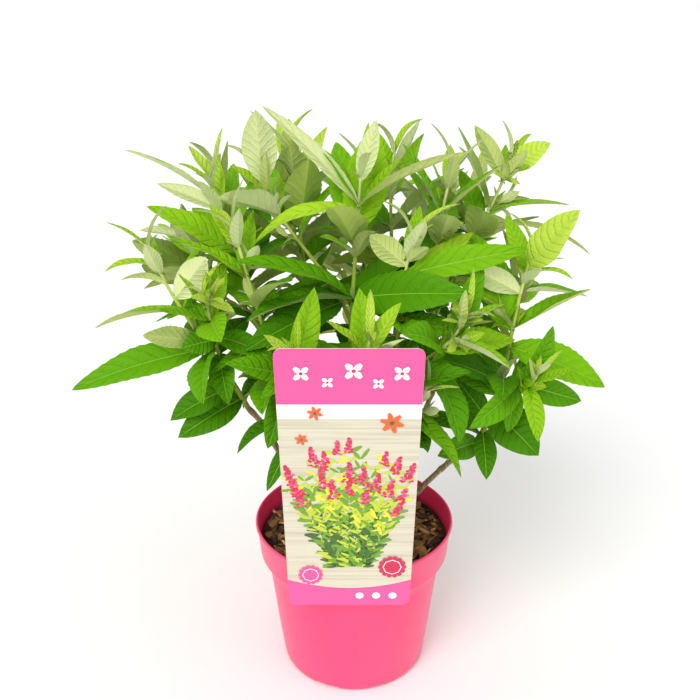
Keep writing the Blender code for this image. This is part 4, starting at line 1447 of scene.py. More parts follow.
    def dealt(self, item: PlacedLeaf, dice: random.Random) -> Callable[[int], int]:
        """The rule from a blade's own slots to the tints that its age gives it."""
        last = len(self.tops) - 1
        top = min(max(round(item.age ** 1.5 * last + dice.uniform(-1.1, 0.9)), 0), last)
        below = len(self.unders) - 1
        under = min(max(round(item.age * below + dice.uniform(-0.7, 0.7)), 0), below)
        first_under = last + 1
        first_rib = first_under + below + 1
        slots = (
            top,
            first_under + under,
            first_rib + (top > 4),
            first_rib + 1 + (under > 1),
        )
        return lambda slot: slots[slot]

    def leaf_palette(self) -> Palette:
        """Upper sides, undersides and midribs, each from old to young."""
        tops = [
            LeafBlade(f"waxy_leaf_top_{k}", tint, 0.46 + 0.02 * k)
            for k, tint in enumerate(self.tops)
        ]
        unders = [
            LeafBlade(f"felted_leaf_underside_{k}", tint, 0.8, felt=0.12)
            for k, tint in enumerate(self.unders)
        ]
        ribs = [
            ShootSkin(f"leaf_midrib_{k}", tint, 0.6, depth=0.1 * MM)
            for k, tint in enumerate(self.ribs)
        ]
        return Palette(*tops, *unders, *ribs)

    def outgrowths(self, name: str, shape: bmesh.types.BMesh, mould: Mould) -> None:
        """Add the small curled outgrowths between the leaf stalks at each node."""
        for row, points, _ in self.limbs.stems[name]:
            for index in range(row.pairs):
                spot, ahead = along(points, self.rule.pair_share(row, index))
                for side in (0, 1):
                    turn = math.radians(row.phase + 90 * index + 90 + 180 * side)
                    size = (4.5 * MM, 2.2 * MM, 1.6, 0.3, 0.0)
                    leaf = self.rule.leaf_on(spot, ahead, turn, 1.2, size)
                    item = PlacedLeaf(leaf, Side.SMALL, 0.2)
                    mould.cast(shape, self.blade_place(item), lambda slot: (1, 7, 11, 11)[slot])

    def build_stems(self, name: str, mould: Mould, fine: Mould) -> None:
        """Make the stems of a mass, swollen a little at their nodes, and its fine twigs."""
        shape = bmesh.new()
        for row, _, rule in self.limbs.stems[name]:
            nodes = [self.rule.pair_share(row, k) for k in range(row.pairs)]
            sweep = Sweep(rule, self.limbs.stem_radii(row, 31), 30, nodes)
            start = len(shape.faces)
            mould.cast(shape, sweep.place, 0)
            shape.faces.ensure_lookup_table()
            base = 0.0 if row.fork == 0 else 0.15
            for face in shape.faces[start:]:
                share = sweep.share(face.calc_center_median())
                face.material_index = self.stem_slot(share + base)
        for twig in self.twigs.get(name, []):
            curve = (lambda t, twig=twig: self.rule.axes(twig, t)[0])
            fine.cast(shape, Sweep(curve, (0.75 * MM, 0.4 * MM), 5).place, 3)
        finished(shape, f"shoots_{name}", self.stem_palette())

    def stem_slot(self, share: float) -> int:
        """The slot of a stem's skin, from woody at its foot to felted at its tip."""
        return sum(share > limit for limit in (0.05, 0.3, 0.6, 0.82))

    def stem_palette(self) -> Palette:
        """Skins of a stem from its foot to its tip."""
        tints = ("90893F", "98A636", "A4BA3C", "B8CB58", "D2DA88")
        return Palette(
            *(ShootSkin(f"green_stem_skin_{k}", tint, 0.55 + 0.05 * k)
              for k, tint in enumerate(tints))
        )


class Sweep:
    """A tube's rows laid along a curve, each square to it."""

    def __init__(
        self,
        rule: Callable[[float], Vector],
        radii: Sequence[float],
        rows: int,
        nodes: Iterable[float] = (),
    ) -> None:
        """Work out the rows.

        Args:
            rule: the curve, from a share of it to a point.
            radii: the tube's radii, one for each row.
            rows: number of spaces between rows.
            nodes: shares of the curve where the tube swells a little.
        """
        self.nodes = list(nodes)
        self.shares = self.spaced(rows)
        self.spots = [rule(share) for share in self.shares]
        self.radii = [
            radii[0] + (radii[-1] - radii[0]) * share for share in self.shares
        ]
        for k, share in enumerate(self.shares):
            near = min((abs(share - node) for node in self.nodes), default=1)
            self.radii[k] *= 1 + 0.22 * math.exp(-(near / 0.012) ** 2)
        self.frames: list[tuple[Vector, Vector]] = []
        side = (self.spots[1] - self.spots[0]).cross(Vector((0.31, 0.87, 0.05))).normalized()
        last = len(self.spots) - 1
        for k in range(last + 1):
            ahead = (self.spots[min(k + 1, last)] - self.spots[max(k - 1, 0)]).normalized()
            side = (side - ahead * side.dot(ahead)).normalized()
            self.frames.append((side, ahead.cross(side)))

    def spaced(self, rows: int) -> list[float]:
        """Even shares of the curve, with the nearest drawn to each node."""
        shares = [k / rows for k in range(rows + 1)]
        for node in self.nodes:
            near = min(range(1, rows), key=lambda k: abs(shares[k] - node))
            shares[near] = node
        return sorted(shares)

    def place(self, point: Vector) -> Vector:
        """Move a point of the tube's mould to the curve."""
        row = min(round(point.z), len(self.spots) - 1)
        side, other = self.frames[row]
        square = 1 + 0.05 * math.cos(4 * math.atan2(point.y, point.x))
        return self.spots[row] + (side * point.x + other * point.y) * self.radii[row] * square

    def share(self, spot: Vector) -> float:
        """How far along the curve a point is."""
        near = min(range(len(self.spots)), key=lambda k: (self.spots[k] - spot).length)
        return self.shares[near]


@dataclass
class Wood:
    """The trunk and its boughs in bark, with fine bare twigs."""

    limbs: Limbs
    sides: int = 20
    bough_sides: int = 12
    bare_twigs: int = 2

    def build(self) -> None:
        """Make the trunk and every bough as one piece."""
        shape = bmesh.new()
        self.add_trunk(shape)
        mould = tube_mould(self.bough_sides, 36)
        for row in BOUGHS:
            line = self.limbs.bough_line(row, 10)
            line.insert(0, line[0] - (line[1] - line[0]).normalized() * 2.5 * MM)
            line.append(line[-1] + (line[-1] - line[-2]).normalized() * 1.5 * MM)
            radii = (self.limbs.bough_root, self.limbs.bough_tip)
            nodes = (0.22, 0.38, 0.55, 0.72, 0.9)
            sweep = Sweep(lambda t, line=line: along(line, t)[0], radii, 36, nodes)
            mould.cast(shape, lambda point, sweep=sweep: self.rough(sweep.place(point)), 0)
            self.add_bare_twigs(shape, line)
        mould.drop()
        finishes = Palette(
            FibrousBark("young_fibrous_bark", "7D6748", 0.85, depth=0.5 * MM),
            ShootSkin("dried_twig_skin", "6B4A30", 0.8, felt=0.0),
            ShootSkin("felted_wood_bud", "C9BE4A", 0.7),
        )
        piece = finished(shape, "wood", finishes)
        names = [f"bough_{row.name}" for row in BOUGHS]
        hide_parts("trunk", *names)

    def add_bare_twigs(self, shape: bmesh.types.BMesh, line: Sequence[Vector]) -> None:
        """Add fine dried twigs to a bough, with a yellow bud where each leaves it."""
        dice = random.Random(round(line[-1].x * 1e6))
        mould, grain = tube_mould(5, 4), grain_mould()
        for k in range(self.bare_twigs):
            spot, ahead = along(line, 0.42 + 0.26 * k + dice.uniform(-0.06, 0.06))
            out = ahead.orthogonal().normalized()
            turn = Matrix.Rotation(dice.uniform(0, 2 * math.pi), 3, ahead)
            heading = (ahead * 1.3 + turn @ out).normalized()
            length = dice.uniform(10, 24) * MM
            bend = Vector((dice.uniform(-4, 4), dice.uniform(-4, 4), dice.uniform(-6, 5))) * MM

            def curve(
                t: float, spot: Vector = spot, way: Vector = heading * length, bend: Vector = bend
            ) -> Vector:
                return spot + way * t + bend * t * t

            mould.cast(shape, Sweep(curve, (0.5 * MM, 0.22 * MM), 4).place, 1)
            foot = spot - turn @ out * self.limbs.bough_tip
            grain.cast(shape, lambda point, foot=foot: foot + point * 1.1 * MM, 2)
        mould.drop()
        grain.drop()

    def add_trunk(self, shape: bmesh.types.BMesh) -> None:
        """Add the trunk with its root flare and lengthwise splits."""
        rows = 24
        mould = tube_mould(self.sides, rows)
        height = self.limbs.top() - self.limbs.foot

        def place(point: Vector) -> Vector:
            z = self.limbs.foot + height * point.z / rows
            angle = math.atan2(point.y, point.x)
            flare = 0.10 * math.cos(3 * angle + 0.6) * math.exp(-(z - self.limbs.foot) / 0.008)
            split = 0.07 * noise.noise(Vector((3 * point.x, 3 * point.y, z * 60)))
            radius = self.limbs.trunk_radius(z) * (1 + flare + split)
            return self.limbs.trunk_centre(z) + polar(radius, angle, 0)

        mould.cast(shape, place, 0)
        mould.drop()

    def rough(self, spot: Vector) -> Vector:
        """Push a point of a bough in or out a little, for its uneven bark."""
        return spot + noise.noise_vector(spot * 260) * 0.22 * MM


@dataclass
class NurseryPot:
    """The moulded pot: thin wall, deep collar, rounded lip and drain notches."""

    height: float = 137 * MM
    rim: float = 85 * MM
    collar: float = 30 * MM
    collar_foot: float = 81 * MM
    body_top: float = 75 * MM
    base: float = 63 * MM
    wall: float = 1.5 * MM
    floor: float = 2.2 * MM
    sides: int = 144
    drains: int = 8
    drain: Triple = (22 * MM, 9 * MM, 7 * MM)

    def outline(self) -> list[tuple[float, float]]:
        """The wall's outline, from the middle of the floor out, up and back inside.

        Returns:
            Radius and height of each point.
        """
        foot = self.height - self.collar
        outer = [(0.0, 0.0), (self.base - 6 * MM, 0.0), (self.base - 3.2 * MM, 0.3 * MM)]
        outer += [(self.base - 1.2 * MM, 1.5 * MM), (self.base - 0.2 * MM, 3.6 * MM)]
        outer += [(self.base + 0.4 * MM, 6.5 * MM)]
        outer += [(self.base + (self.body_top - self.base) * share, (foot - 4 * MM) * share)
                  for share in (0.3, 0.6, 0.9, 1.0)]
        outer += [(self.body_top + 1.1 * MM, foot - 2.7 * MM)]
        outer += [(self.collar_foot - 2.2 * MM, foot - 0.7 * MM)]
        outer += [(self.collar_foot - 0.7 * MM, foot), (self.collar_foot, foot + 1.0 * MM)]
        outer += [(self.collar_foot + 0.3 * MM, foot + 2.6 * MM)]
        outer += [(self.rim - 1.5 * MM, self.height - 4.2 * MM)]
        outer += [(self.rim - 0.5 * MM, self.height - 2.9 * MM)]
        outer += [(self.rim, self.height - 1.9 * MM)]
        outer += [(self.rim - 0.15 * MM, self.height - 0.8 * MM)]
        outer += [(self.rim - 0.7 * MM, self.height - 0.15 * MM)]
        outer += [(self.rim - 1.4 * MM, self.height)]
        inner = [(self.rim - self.wall - 0.6 * MM, self.height - 0.5 * MM)]
        inner += [(self.rim - self.wall - 0.9 * MM, self.height - 1.6 * MM)]
        inner += [(self.collar_foot - self.wall, foot + 0.4 * MM)]
        inner += [(self.body_top - self.wall, foot - 4 * MM)]
        inner += [(self.base - self.wall, self.floor + 3 * MM)]
        inner += [(self.base - self.wall - 3 * MM, self.floor), (0.0, self.floor)]
        return outer + inner

    def build(self) -> None:
        """Turn the outline, cut the drain notches and dress the pot."""
        shape = bmesh.new()
        row = [shape.verts.new((r, 0, z)) for r, z in self.outline()]
        edges = [shape.edges.new(pair) for pair in zip(row, row[1:])]
        bmesh.ops.spin(
            shape, geom=row + edges, axis=(0, 0, 1), cent=(0, 0, 0), steps=self.sides,
            angle=2 * math.pi, use_merge=True, use_duplicate=False,
        )
        bmesh.ops.remove_doubles(shape, verts=shape.verts, dist=1e-6)
        bmesh.ops.recalc_face_normals(shape, faces=shape.faces)
        # Inward faces take slot 1, the same plastic in a deeper pink that is painted shade inside
        # the pot.
        for face in shape.faces:
            spot = face.calc_center_median()
            inside = face.normal.dot(Vector((spot.x, spot.y, 0))) < -0.5 * spot.xy.length
            face.material_index = int(inside)
        # The second finish is a deeper, more saturated copy of the outer pink: painted shade and
        # painted pink bounce light within the pot.
        skins = Palette(
            MouldedPolypropylene("moulded_pink_polypropylene", "F44276", 0.32, "FA7096"),
            MouldedPolypropylene("moulded_pink_polypropylene_inside_painted_shade", "F62A66", 0.6, "F84478"),
        )
        piece = finished(shape, "pot_shell", skins)
        self.cut_drains(piece)
        piece.data.set_sharp_from_angle(angle=math.radians(35))
        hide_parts("pot")

    def cut_drains(self, piece: bpy.types.Object) -> None:
        """Cut the notches through the corner of the foot."""
        shape = bmesh.new()
        for k in range(self.drains):
            turn = Matrix.Rotation(2 * math.pi * (k + 0.5) / self.drains, 4, "Z")
            place = turn @ Matrix.Translation((0, self.base - 0.5 * MM, 0))
            block = bmesh.ops.create_cube(
                shape, size=1, matrix=place @ Matrix.Diagonal((*self.drain, 1))
            )
            upright = [
                edge for edge in {e for vert in block["verts"] for e in vert.link_edges}
                if all(vert.co.z > 0 for vert in edge.verts)
            ]
            bmesh.ops.bevel(
                shape, geom=upright, offset=1.2 * MM, segments=3, affect="EDGES",
                profile=0.5, material=-1,
            )
        mesh = bpy.data.meshes.new("drain_tool")
        shape.to_mesh(mesh)
        shape.free()
        tool = bpy.data.objects.new("drain_tool", mesh)
        bpy.context.scene.collection.objects.link(tool)
        cut = piece.modifiers.new("drains", "BOOLEAN")
        cut.object = tool
        cut.operation = "DIFFERENCE"
        cut.solver = "EXACT"
        bpy.context.view_layer.update()
        graph = bpy.context.evaluated_depsgraph_get()
        settled = bpy.data.meshes.new_from_object(piece.evaluated_get(graph))
        piece.modifiers.clear()
        old = piece.data
        piece.data = settled
        bpy.data.meshes.remove(old)
        bpy.data.objects.remove(tool, do_unlink=True)
        bpy.data.meshes.remove(mesh)


@dataclass
class Mulch:
    """The compost with bark chips strewn over it."""

    pot: NurseryPot
    limbs: Limbs
    top: float = 120 * MM
    chips: int = 760
    seed: int = 5
    tints: tuple[str, ...] = ("3A2013", "63401F", "8A5E33", "AC7C49", "CBA06B", "EACB98")

    def surface_radius(self) -> float:
        """Radius of the compost's surface."""
        pot = self.pot
        return (pot.collar_foot + pot.rim) / 2 - pot.wall - 2.0 * MM

    def surface_height(self, x: float, y: float) -> float:
        """Height of the compost's lumpy surface, flat at the trunk."""
        lump = noise.fractal(Vector((x, y, 0.3)) * 70, 1.0, 2.0, 3) * 2.2 * MM
        return self.top + lump * min(max((math.hypot(x, y) - 0.012) / 0.012, 0), 1)

    def build(self) -> None:
        """Make the compost and the chips."""
        self.build_compost()
        self.build_chips()

    def build_compost(self) -> None:
        """Turn the root ball and raise its surface into lumps."""
        pot = self.pot
        foot = pot.height - pot.collar
        edge = self.surface_radius()
        low = pot.base - pot.wall
        outline = [(0.0, pot.floor + CLEAR), (low - 4 * MM, pot.floor + CLEAR)]
        outline += [(low - 2 * CLEAR, pot.floor + 4 * MM)]
        outline += [(pot.body_top - pot.wall - 2 * CLEAR, foot - 3.7 * MM)]
        outline += [(pot.collar_foot - pot.wall - 1.2 * MM, foot + 1.6 * MM)]
        outline += [(edge * share, self.top) for share in (1, 0.97, 0.94)]
        outline += [(edge * (1 - k / 22), self.top) for k in range(2, 22)]
        outline += [(0.0, self.top)]
        shape = bmesh.new()
        row = [shape.verts.new((r, 0, z)) for r, z in outline]
        edges = [shape.edges.new(pair) for pair in zip(row, row[1:])]
        bmesh.ops.spin(
            shape, geom=row + edges, axis=(0, 0, 1), cent=(0, 0, 0), steps=96,
            angle=2 * math.pi, use_merge=True, use_duplicate=False,
        )
        bmesh.ops.remove_doubles(shape, verts=shape.verts, dist=1e-6)
        bmesh.ops.recalc_face_normals(shape, faces=shape.faces)
        for vert in shape.verts:
            if vert.co.z > self.top - 0.1 * MM:
                vert.co.z = self.surface_height(vert.co.x, vert.co.y)
        finish = DampCompost("damp_peat_compost", "22140D", 0.95)
        piece = finished(shape, "compost", Palette(finish))
        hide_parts("soil")

    def build_chips(self) -> None:
        """Strew the chips in rising layers, with a few pale slivers in the upper half."""
        shape = bmesh.new()
        mould = chip_mould()
        dice = random.Random(self.seed)
        for number in range(self.chips):
            layer = number / self.chips
            angle = dice.uniform(0, 2 * math.pi)
            sliver = dice.random() < 0.05 and layer > 0.5
            length = dice.uniform(14, 24) if sliver else dice.triangular(4, 17, 8)
            reach = self.surface_radius() - length * 0.5 * MM - 0.6 * MM
            distance = reach * math.sqrt(dice.uniform(0.03, 1))
            x, y = distance * math.cos(angle), distance * math.sin(angle)
            width = dice.uniform(1.0, 1.8) if sliver else length * dice.uniform(0.3, 0.62)
            size = Vector((length, width, dice.uniform(0.8, 2.4))) * MM
            height = self.surface_height(x, y) + (0.6 + 2.6 * layer) * MM
            turn = Matrix.Rotation(dice.uniform(0, 2 * math.pi), 3, "Z")
            tilt = Matrix.Rotation(dice.gauss(0, 0.30), 3, "Y")
            roll = Matrix.Rotation(dice.gauss(0, 0.35), 3, "X")
            pose = (Vector((x, y, height)), turn @ tilt @ roll, size, dice.uniform(0, 90))
            tint = 5 if sliver else dice.choices(range(5), (3, 4, 5, 4, 2))[0]
            mould.cast(shape, lambda point, pose=pose: self.torn(point, pose), tint)
        mould.drop()
        tints = [BarkChip(f"composted_bark_chip_{k}", tint, 0.85)
                 for k, tint in enumerate(self.tints)]
        finished(shape, "bark_chips", Palette(*tints), smooth=False)

    def torn(self, point: Vector, pose: tuple[Vector, Matrix, Vector, float]) -> Vector:
        """Move a point of the block to a chip with pointed, torn ends."""
        spot, turn, size, seed = pose
        narrow = 1 - 0.9 * abs(point.x) ** 2
        shaped = Vector((point.x, point.y * narrow, point.z * (1 - 0.8 * point.x ** 2)))
        shaped += noise.noise_vector(point * 2.4 + Vector((seed, 0, 0))) * 0.16
        return spot + turn @ Vector(a * b for a, b in zip(shaped, size))


@dataclass
class PictureCard:
    """The flat card that leans outward and hooks over the rim, with its print."""

    pot: NurseryPot
    thick: float = 0.6 * MM
    foot: float = 106 * MM
    height: float = 231 * MM
    top_width: float = 103 * MM
    foot_width: float = 95 * MM
    shift: float = -4 * MM
    corner: float = 6 * MM
    lean: float = math.radians(6.7)
    tongue: float = 22 * MM
    tongue_foot: float = 123 * MM
    header: float = 187 * MM
    strip: float = 175 * MM
    footer: float = 26 * MM

    def place(self, x: float, up: float, out: float = 0.0) -> Vector:
        """A point on the card.

        Args:
            x: across it from its middle.
            up: along it from its foot.
            out: forward from its front.

        Returns:
            The point in the frame of the plant.
        """
        rim = self.pot.rim + CLEAR
        lean = math.tan(self.lean)
        inner = -rim + (self.pot.height - 4 * MM - self.foot) * lean
        front = Vector((0, -math.cos(self.lean), -math.sin(self.lean)))
        foot = Vector((0, inner, self.foot)) + front * self.thick
        rise = Vector((0, -math.sin(self.lean), math.cos(self.lean)))
        return foot + Vector((x + self.shift, 0, 0)) + rise * up + front * out

    def half_width(self, up: float) -> float:
        """Half the card's width at a height along it."""
        share = up / self.height
        return (self.foot_width + (self.top_width - self.foot_width) * share) / 2

    def build(self) -> None:
        """Make the sheet, its tongue and its print."""
        self.build_sheet()
        self.build_print()

    def build_sheet(self) -> None:
        """Cut the sheet into its printed fields and give it its thickness."""
        shape = bmesh.new()
        bmesh.ops.create_grid(shape, x_segments=1, y_segments=1, size=0.5)
        for vert in shape.verts:
            up = (vert.co.y + 0.5) * self.height
            vert.co = Vector((math.copysign(self.half_width(up), vert.co.x), up, 0))
        bmesh.ops.bevel(
            shape, geom=shape.verts[:], offset=self.corner, segments=6, affect="VERTICES",
            profile=0.5, material=-1,
        )
        cuts = [((0, up, 0), (0, 1, 0)) for up in (self.header, self.strip, self.footer)]
        cuts += [((x * 8 * MM, 0, 0), (1, 0, 0)) for x in range(-5, 6)]
        for spot, normal in cuts:
            geometry = shape.verts[:] + shape.edges[:] + shape.faces[:]
            bmesh.ops.bisect_plane(
                shape, geom=geometry, dist=1e-6, plane_co=spot, plane_no=normal
            )
        for face in shape.faces:
            up = face.calc_center_median().y
            face.material_index = self.field(up)
        for vert in shape.verts:
            if abs(vert.co.y - self.footer) < 1e-5:
                vert.co.y -= 8 * MM * (1 - (vert.co.x / (46 * MM)) ** 2)
        back = bmesh.ops.duplicate(shape, geom=shape.verts[:] + shape.edges[:] + shape.faces[:])
        behind = [item for item in back["geom"] if isinstance(item, bmesh.types.BMFace)]
        points = {vert for face in behind for vert in face.verts}
        bmesh.ops.translate(shape, verts=list(points), vec=(0, 0, -self.thick))
        bmesh.ops.reverse_faces(shape, faces=behind)
        for face in behind:
            face.material_index = 1
        rims = [edge for edge in shape.edges if edge.is_boundary]
        for face in bmesh.ops.bridge_loops(shape, edges=rims)["faces"]:
            face.material_index = 1
        for vert in shape.verts:
            vert.co = self.place(vert.co.x, vert.co.y, vert.co.z)
        bmesh.ops.recalc_face_normals(shape, faces=shape.faces)
        self.add_tongue(shape)
        piece = finished(shape, "card_sheet", self.print_palette(), smooth=False)
        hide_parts("label_card")

    def field(self, up: float) -> int:
        """The slot of the print at a height along the card."""
        if up > self.header or up < self.footer:
            return 0
        return 1 if up > self.strip else 2

    def add_tongue(self, shape: bmesh.types.BMesh) -> None:
        """Add the strip behind the card that passes over the rim and down inside it."""
        inside = -(self.pot.rim - self.pot.wall - 3.3 * MM)
        leave = (self.pot.height + 9 * MM - self.foot) / math.cos(self.lean)
        start = self.place(0, leave, -self.thick / 2)
        line = [
            Vector((start.y, start.z)),
            Vector((inside - 2.2 * MM, self.pot.height + 3.4 * MM)),
            Vector((inside, self.pot.height - 1 * MM)),
            Vector((inside + 1.4 * MM, self.tongue_foot)),
        ]
        mould = chip_strip(len(line) - 1)

        def place(point: Vector) -> Vector:
            row = round(point.z)
            ahead = line[min(row + 1, 3)] - line[max(row - 1, 0)]
            across = Vector((-ahead.y, ahead.x)).normalized() * self.thick * point.y
            flat = line[row] + across
            return Vector((self.shift + self.tongue * point.x, flat.x, flat.y))

        mould.cast(shape, place, 1)
        mould.drop()

    def print_palette(self) -> Palette:
        """The inks in the order of their slots."""
        return Palette(
            PrintedLaminate("printed_laminate_pink", "FF559B", 0.35),
            PrintedLaminate("printed_laminate_white", "F7F1EF", 0.35),
            PrintedBoards("printed_laminate_boards", "D9D2BB", 0.35),
            PrintedLaminate("printed_laminate_leaf_green", "6FA31F", 0.35),
            PrintedLaminate("printed_laminate_lime", "C2D331", 0.35),
            PrintedLaminate("printed_laminate_dark_green", "3C6A1E", 0.35),
            PrintedLaminate("printed_laminate_crimson", "CF1F50", 0.35),
            PrintedLaminate("printed_laminate_rose", "E95A82", 0.35),
            PrintedLaminate("printed_laminate_orange", "E8632A", 0.35),
            PrintedLaminate("printed_laminate_yellow", "E6E23A", 0.35),
        )

    def build_print(self) -> None:
        """Lay down the printed sprigs, blossoms and spots, each a thin film of ink."""
        shape = bmesh.new()
        dot, petal = disc_mould(8), disc_mould(6)
        dice = random.Random(12)
        for layer, (count, reach) in enumerate(((11, 1.0), (9, 0.74), (7, 0.5))):
            for k in range(count):
                lean = (k / (count - 1) - 0.5) * 82 * MM * (0.62 + 0.38 * reach)
                self.add_sprig(shape, dot, petal, (lean, reach, layer), dice)
        for x, up, size in ((-33, 212, 7), (-15, 205, 5), (3, 214, 8), (20, 204, 5), (36, 212, 7)):
            self.add_blossom(shape, petal, (x * MM, up * MM), size * MM, 4, (1, 6))
        for x, up, size in ((-24, 180, 6), (30, 172, 9), (-34, 158, 5)):
            self.add_blossom(shape, petal, (x * MM, up * MM), size * MM, 6, (8, 5))
        self.add_spot(shape, dot, (33 * MM, 40 * MM), 9 * MM, 6)
        self.add_spot(shape, dot, (-30 * MM, 32 * MM), 8 * MM, 0)
        for k in range(3):
            self.add_mark(shape, dot, ((8 + 13 * k) * MM, 10 * MM, 0), (3.4 * MM, 3.4 * MM), 1)
        dot.drop()
        petal.drop()
        finished(shape, "card_print", self.print_palette(), smooth=False)

    def add_spot(
        self,
        shape: bmesh.types.BMesh,
        dot: Mould,
        where: tuple[float, float],
        size: float,
        ink: int,
    ) -> None:
        """Add a round spot with a scalloped edge, a white ring and a plain middle."""
        x, up = where
        for k in range(14):
            turn = k * math.pi / 7
            lobe = (x + math.cos(turn) * size, up + math.sin(turn) * size, 0)
            self.add_mark(shape, dot, lobe, (size * 0.22, size * 0.22), ink, 0.70 * MM)
        for share, tone, film in ((1.0, ink, 0.74), (0.82, 1, 0.78), (0.74, ink, 0.82)):
            side = size * share
            self.add_mark(shape, dot, (x, up, 0), (side, side), tone, film * MM)

    def add_mark(
        self,
        shape: bmesh.types.BMesh,
        mould: Mould,
        where: Triple,
        size: tuple[float, float],
        ink: int,
        film: float = 0.04 * MM,
    ) -> None:
        """Add one patch of ink.

        Args:
            shape: the print.
            mould: a flat disc.
            where: its place across and up the card, and its turn in radians.
            size: half its length and half its width.
            ink: its slot.
            film: how far it stands off the sheet.
        """
        x, up, turn = where
        ahead = Vector((math.cos(turn), math.sin(turn)))

        def place(point: Vector) -> Vector:
            slim = point.y * size[1]
            spot = Vector((x, up)) + ahead * point.x * size[0]
            spot += Vector((-ahead.y, ahead.x)) * slim
            return self.place(spot.x, spot.y, film)

        mould.cast(shape, place, ink)

    def add_blossom(
        self,
        shape: bmesh.types.BMesh,
        petal: Mould,
        where: tuple[float, float],
        size: float,
        lobes: int,
        inks: tuple[int, int],
    ) -> None:
        """Add a plain blossom.

        Args:
            shape: the print.
            petal: a flat disc.
            where: its middle, across and up the card.
            size: its radius.
            lobes: how many petals it has.
            inks: slots of its petals and of its eye.
        """
        x, up = where
        for k in range(lobes):
            turn = math.pi / 4 + 2 * k * math.pi / lobes
            spot = (x + math.cos(turn) * size * 0.52, up + math.sin(turn) * size * 0.52, turn)
            wide = size * 1.6 / (lobes + 1)
            self.add_mark(
                shape, petal, spot, (size * 0.48, wide), inks[0], (0.60 + 0.01 * k) * MM
            )
        self.add_mark(shape, petal, (x, up, 0), (size * 0.2, size * 0.2), inks[1], 0.68 * MM)

    def add_sprig(
        self,
        shape: bmesh.types.BMesh,
        dot: Mould,
        petal: Mould,
        where: tuple[float, float, int],
        dice: random.Random,
    ) -> None:
        """Add a leafy sprig that fans out from the foot of the field to a flower spike.

        Args:
            shape: the print.
            dot: a flat round disc for the spike.
            petal: a flat disc for the leaves.
            where: how far its tip leans across, its reach, and its layer from the back.
            dice: the print's dice.
        """
        lean, reach, layer = where
        foot = Vector((lean * 0.3, 40 * MM))
        high = (62 + 84 * reach - abs(lean) * 640 * reach) * MM
        tip = Vector((lean, high + dice.uniform(-6, 6) * MM))
        way = (tip - foot).normalized()
        heading = math.atan2(way.y, way.x)
        film = (0.05 + 0.17 * layer) * MM
        for k in range(14):
            spot = foot.lerp(tip, k / 13)
            for side in (-1, 1):
                turn = heading + side * dice.uniform(0.4, 1.3)
                size = dice.uniform(3.2, 6.0) * MM
                centre = spot + Vector((math.cos(turn), math.sin(turn))) * size
                ink = dice.choice((3, 5, 5, 3, 4) if k < 8 else (3, 4, 4, 9, 3))
                self.add_mark(
                    shape,
                    petal,
                    (centre.x, centre.y, turn),
                    (size, size * dice.uniform(0.24, 0.34)),
                    ink,
                    film + 0.0045 * MM * (k * 2 + side),
                )
        grains = dice.randint(26, 44) if dice.random() < 0.8 else 0
        for k in range(grains):
            share = k / grains
            wide = (0.12 * grains * (1 - share) + 0.3) * MM
            spot = tip + way * share * 0.42 * grains * MM
            spot += Vector((-way.y, way.x)) * dice.uniform(-wide, wide)
            ink = 6 if dice.random() < 0.7 else 7
            over = film + (0.13 + 0.0007 * k) * MM
            self.add_mark(shape, dot, (spot.x, spot.y, 0), (1.3 * MM, 1.0 * MM), ink, over)


def chip_strip(rows: int) -> Mould:
    """A flat strip one wide and one thick, with rows one apart in Z."""
    shape = bmesh.new()
    made = bmesh.ops.create_grid(shape, x_segments=1, y_segments=1, size=0.5)
    faces = list({face for vert in made["verts"] for face in vert.link_faces})
    for _ in range(rows):
        grown = bmesh.ops.extrude_face_region(shape, geom=faces)["geom"]
        fresh = [item for item in grown if isinstance(item, bmesh.types.BMVert)]
        bmesh.ops.delete(shape, geom=faces if _ else [], context="FACES_ONLY")
        faces = [item for item in grown if isinstance(item, bmesh.types.BMFace)]
        bmesh.ops.translate(shape, verts=fresh, vec=(0, 0, 1))
    bmesh.ops.recalc_face_normals(shape, faces=shape.faces)
    return Mould(shape)


@dataclass
class FlowerBuds:
    """Young flower buds at the tip of one shoot: a short spike of round grains."""

    limbs: Limbs
    bough: str = "right_upper"
    shoot: int = 1
    length: float = 15 * MM
    grains: int = 54

    def build(self) -> None:
        """Set the grains round the end of the stem in a cone."""
        _, points, _ = self.limbs.stems[self.bough][self.shoot]
        tip, ahead = along(points, 1.0)
        side = ahead.orthogonal().normalized()
        other = ahead.cross(side)
        shape = bmesh.new()
        mould = grain_mould()
        dice = random.Random(3)
        for k in range(self.grains):
            share = k / self.grains
            turn = 2.4 * k
            wide = 3.4 * MM * (1 - share) ** 0.7 + 0.3 * MM
            spot = tip + ahead * self.length * share
            spot += (side * math.cos(turn) + other * math.sin(turn)) * wide
            size = dice.uniform(0.7, 1.1) * MM * (1.1 - 0.5 * share)
            mould.cast(shape, lambda point, spot=spot, size=size: spot + point * size, k % 3)
        mould.drop()
        tints = ("93A83C", "A8B84E", "7F9A35")
        buds = [ShootSkin(f"felted_flower_bud_{k}", tint, 0.8) for k, tint in enumerate(tints)]
        finished(shape, "flower_buds", Palette(*buds))


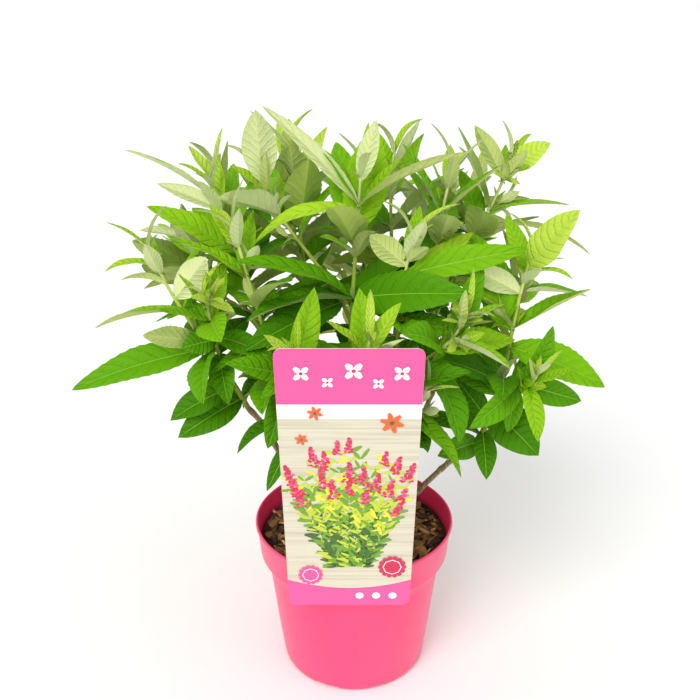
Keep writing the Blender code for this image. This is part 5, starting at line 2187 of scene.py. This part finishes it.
@dataclass
class Studio:
    """The pale floor, the soft lights and the camera."""

    floor_size: float = 60.0
    room_light: float = 0.68

    def build(self) -> None:
        """Set up the floor, the light and the camera."""
        self.add_floor()
        self.add_lights()
        self.add_camera()
        bpy.context.scene.view_settings.view_transform = "Standard"

    def add_floor(self) -> None:
        """Add a plain pale floor just under the pot."""
        shape = bmesh.new()
        bmesh.ops.create_grid(
            shape, x_segments=1, y_segments=1, size=self.floor_size / 2,
            matrix=Matrix.Translation((0, 0, -0.3 * MM)),
        )
        mesh = bpy.data.meshes.new("floor")
        shape.to_mesh(mesh)
        shape.free()
        floor = bpy.data.objects.new("floor", mesh)
        bpy.context.scene.collection.objects.link(floor)
        Palette(Finish("studio_paper_floor", "FDFDFC", 0.9)).dress(floor)
        floor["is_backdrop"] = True

    def add_lights(self) -> None:
        """Add a white room and two broad lights, the stronger from the upper left."""
        world = bpy.data.worlds.new("white_room")
        world.use_nodes = True
        shade = world.node_tree.nodes["Background"]
        shade.inputs["Color"].default_value = (1, 1, 1, 1)
        seen = add_node(world.node_tree, "ShaderNodeLightPath").outputs["Is Camera Ray"]
        glow = add_node(
            world.node_tree,
            "ShaderNodeMapRange",
            {"Value": seen, "To Min": self.room_light, "To Max": 1.0},
        )
        world.node_tree.links.new(glow.outputs["Result"], shade.inputs["Strength"])
        bpy.context.scene.world = world
        self.add_soft_light("key_light", (-0.5, -0.95, 0.95), 32, 1.7)
        self.add_soft_light("fill_light", (0.7, -0.9, 0.6), 60, 0.5)

    def add_soft_light(self, name: str, toward: Triple, spread: float, strength: float) -> None:
        """Add a broad even light.

        Args:
            name: its name.
            toward: the direction that it comes from.
            spread: how broad it looks from the plant, in degrees.
            strength: its power on each square metre, in watts.
        """
        light = bpy.data.lights.new(name, "SUN")
        light.angle = math.radians(spread)
        light.energy = strength
        lamp = bpy.data.objects.new(name, light)
        lamp.location = toward
        lamp.rotation_euler = (-Vector(toward)).to_track_quat("-Z", "Y").to_euler()
        bpy.context.scene.collection.objects.link(lamp)

    def add_camera(self) -> None:
        """Add the camera, above the pot and looking down a little."""
        lens = bpy.data.cameras.new("camera")
        lens.sensor_width = 36
        lens.lens = 883 / 700 * 36
        camera = bpy.data.objects.new("camera", lens)
        turn = Matrix.Rotation(math.pi / 2 - math.radians(21.7), 4, "X")
        camera.matrix_world = Matrix.Translation((-0.0035, -0.659, 0.553)) @ turn
        bpy.context.scene.collection.objects.link(camera)
        bpy.context.scene.camera = camera


def write_sizes() -> None:
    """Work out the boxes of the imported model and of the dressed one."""
    boxes = {"cad": cad_box, "visual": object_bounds()}
    plain = {name: [[float(v) for v in corner] for corner in box] for name, box in boxes.items()}


def main() -> None:
    """Build the studio, the pot, the card and the plant, in that order."""
    logging.basicConfig(level=logging.INFO, format="%(message)s")
    Studio().build()
    pot = NurseryPot()
    pot.build()
    limbs = Limbs()
    limbs.grow()
    Mulch(pot, limbs).build()
    PictureCard(pot).build()
    Wood(limbs).build()
    foliage = Foliage(limbs)
    foliage.grow()
    foliage.build()
    FlowerBuds(limbs).build()
    write_sizes()


if __name__ == "__main__":
    main()
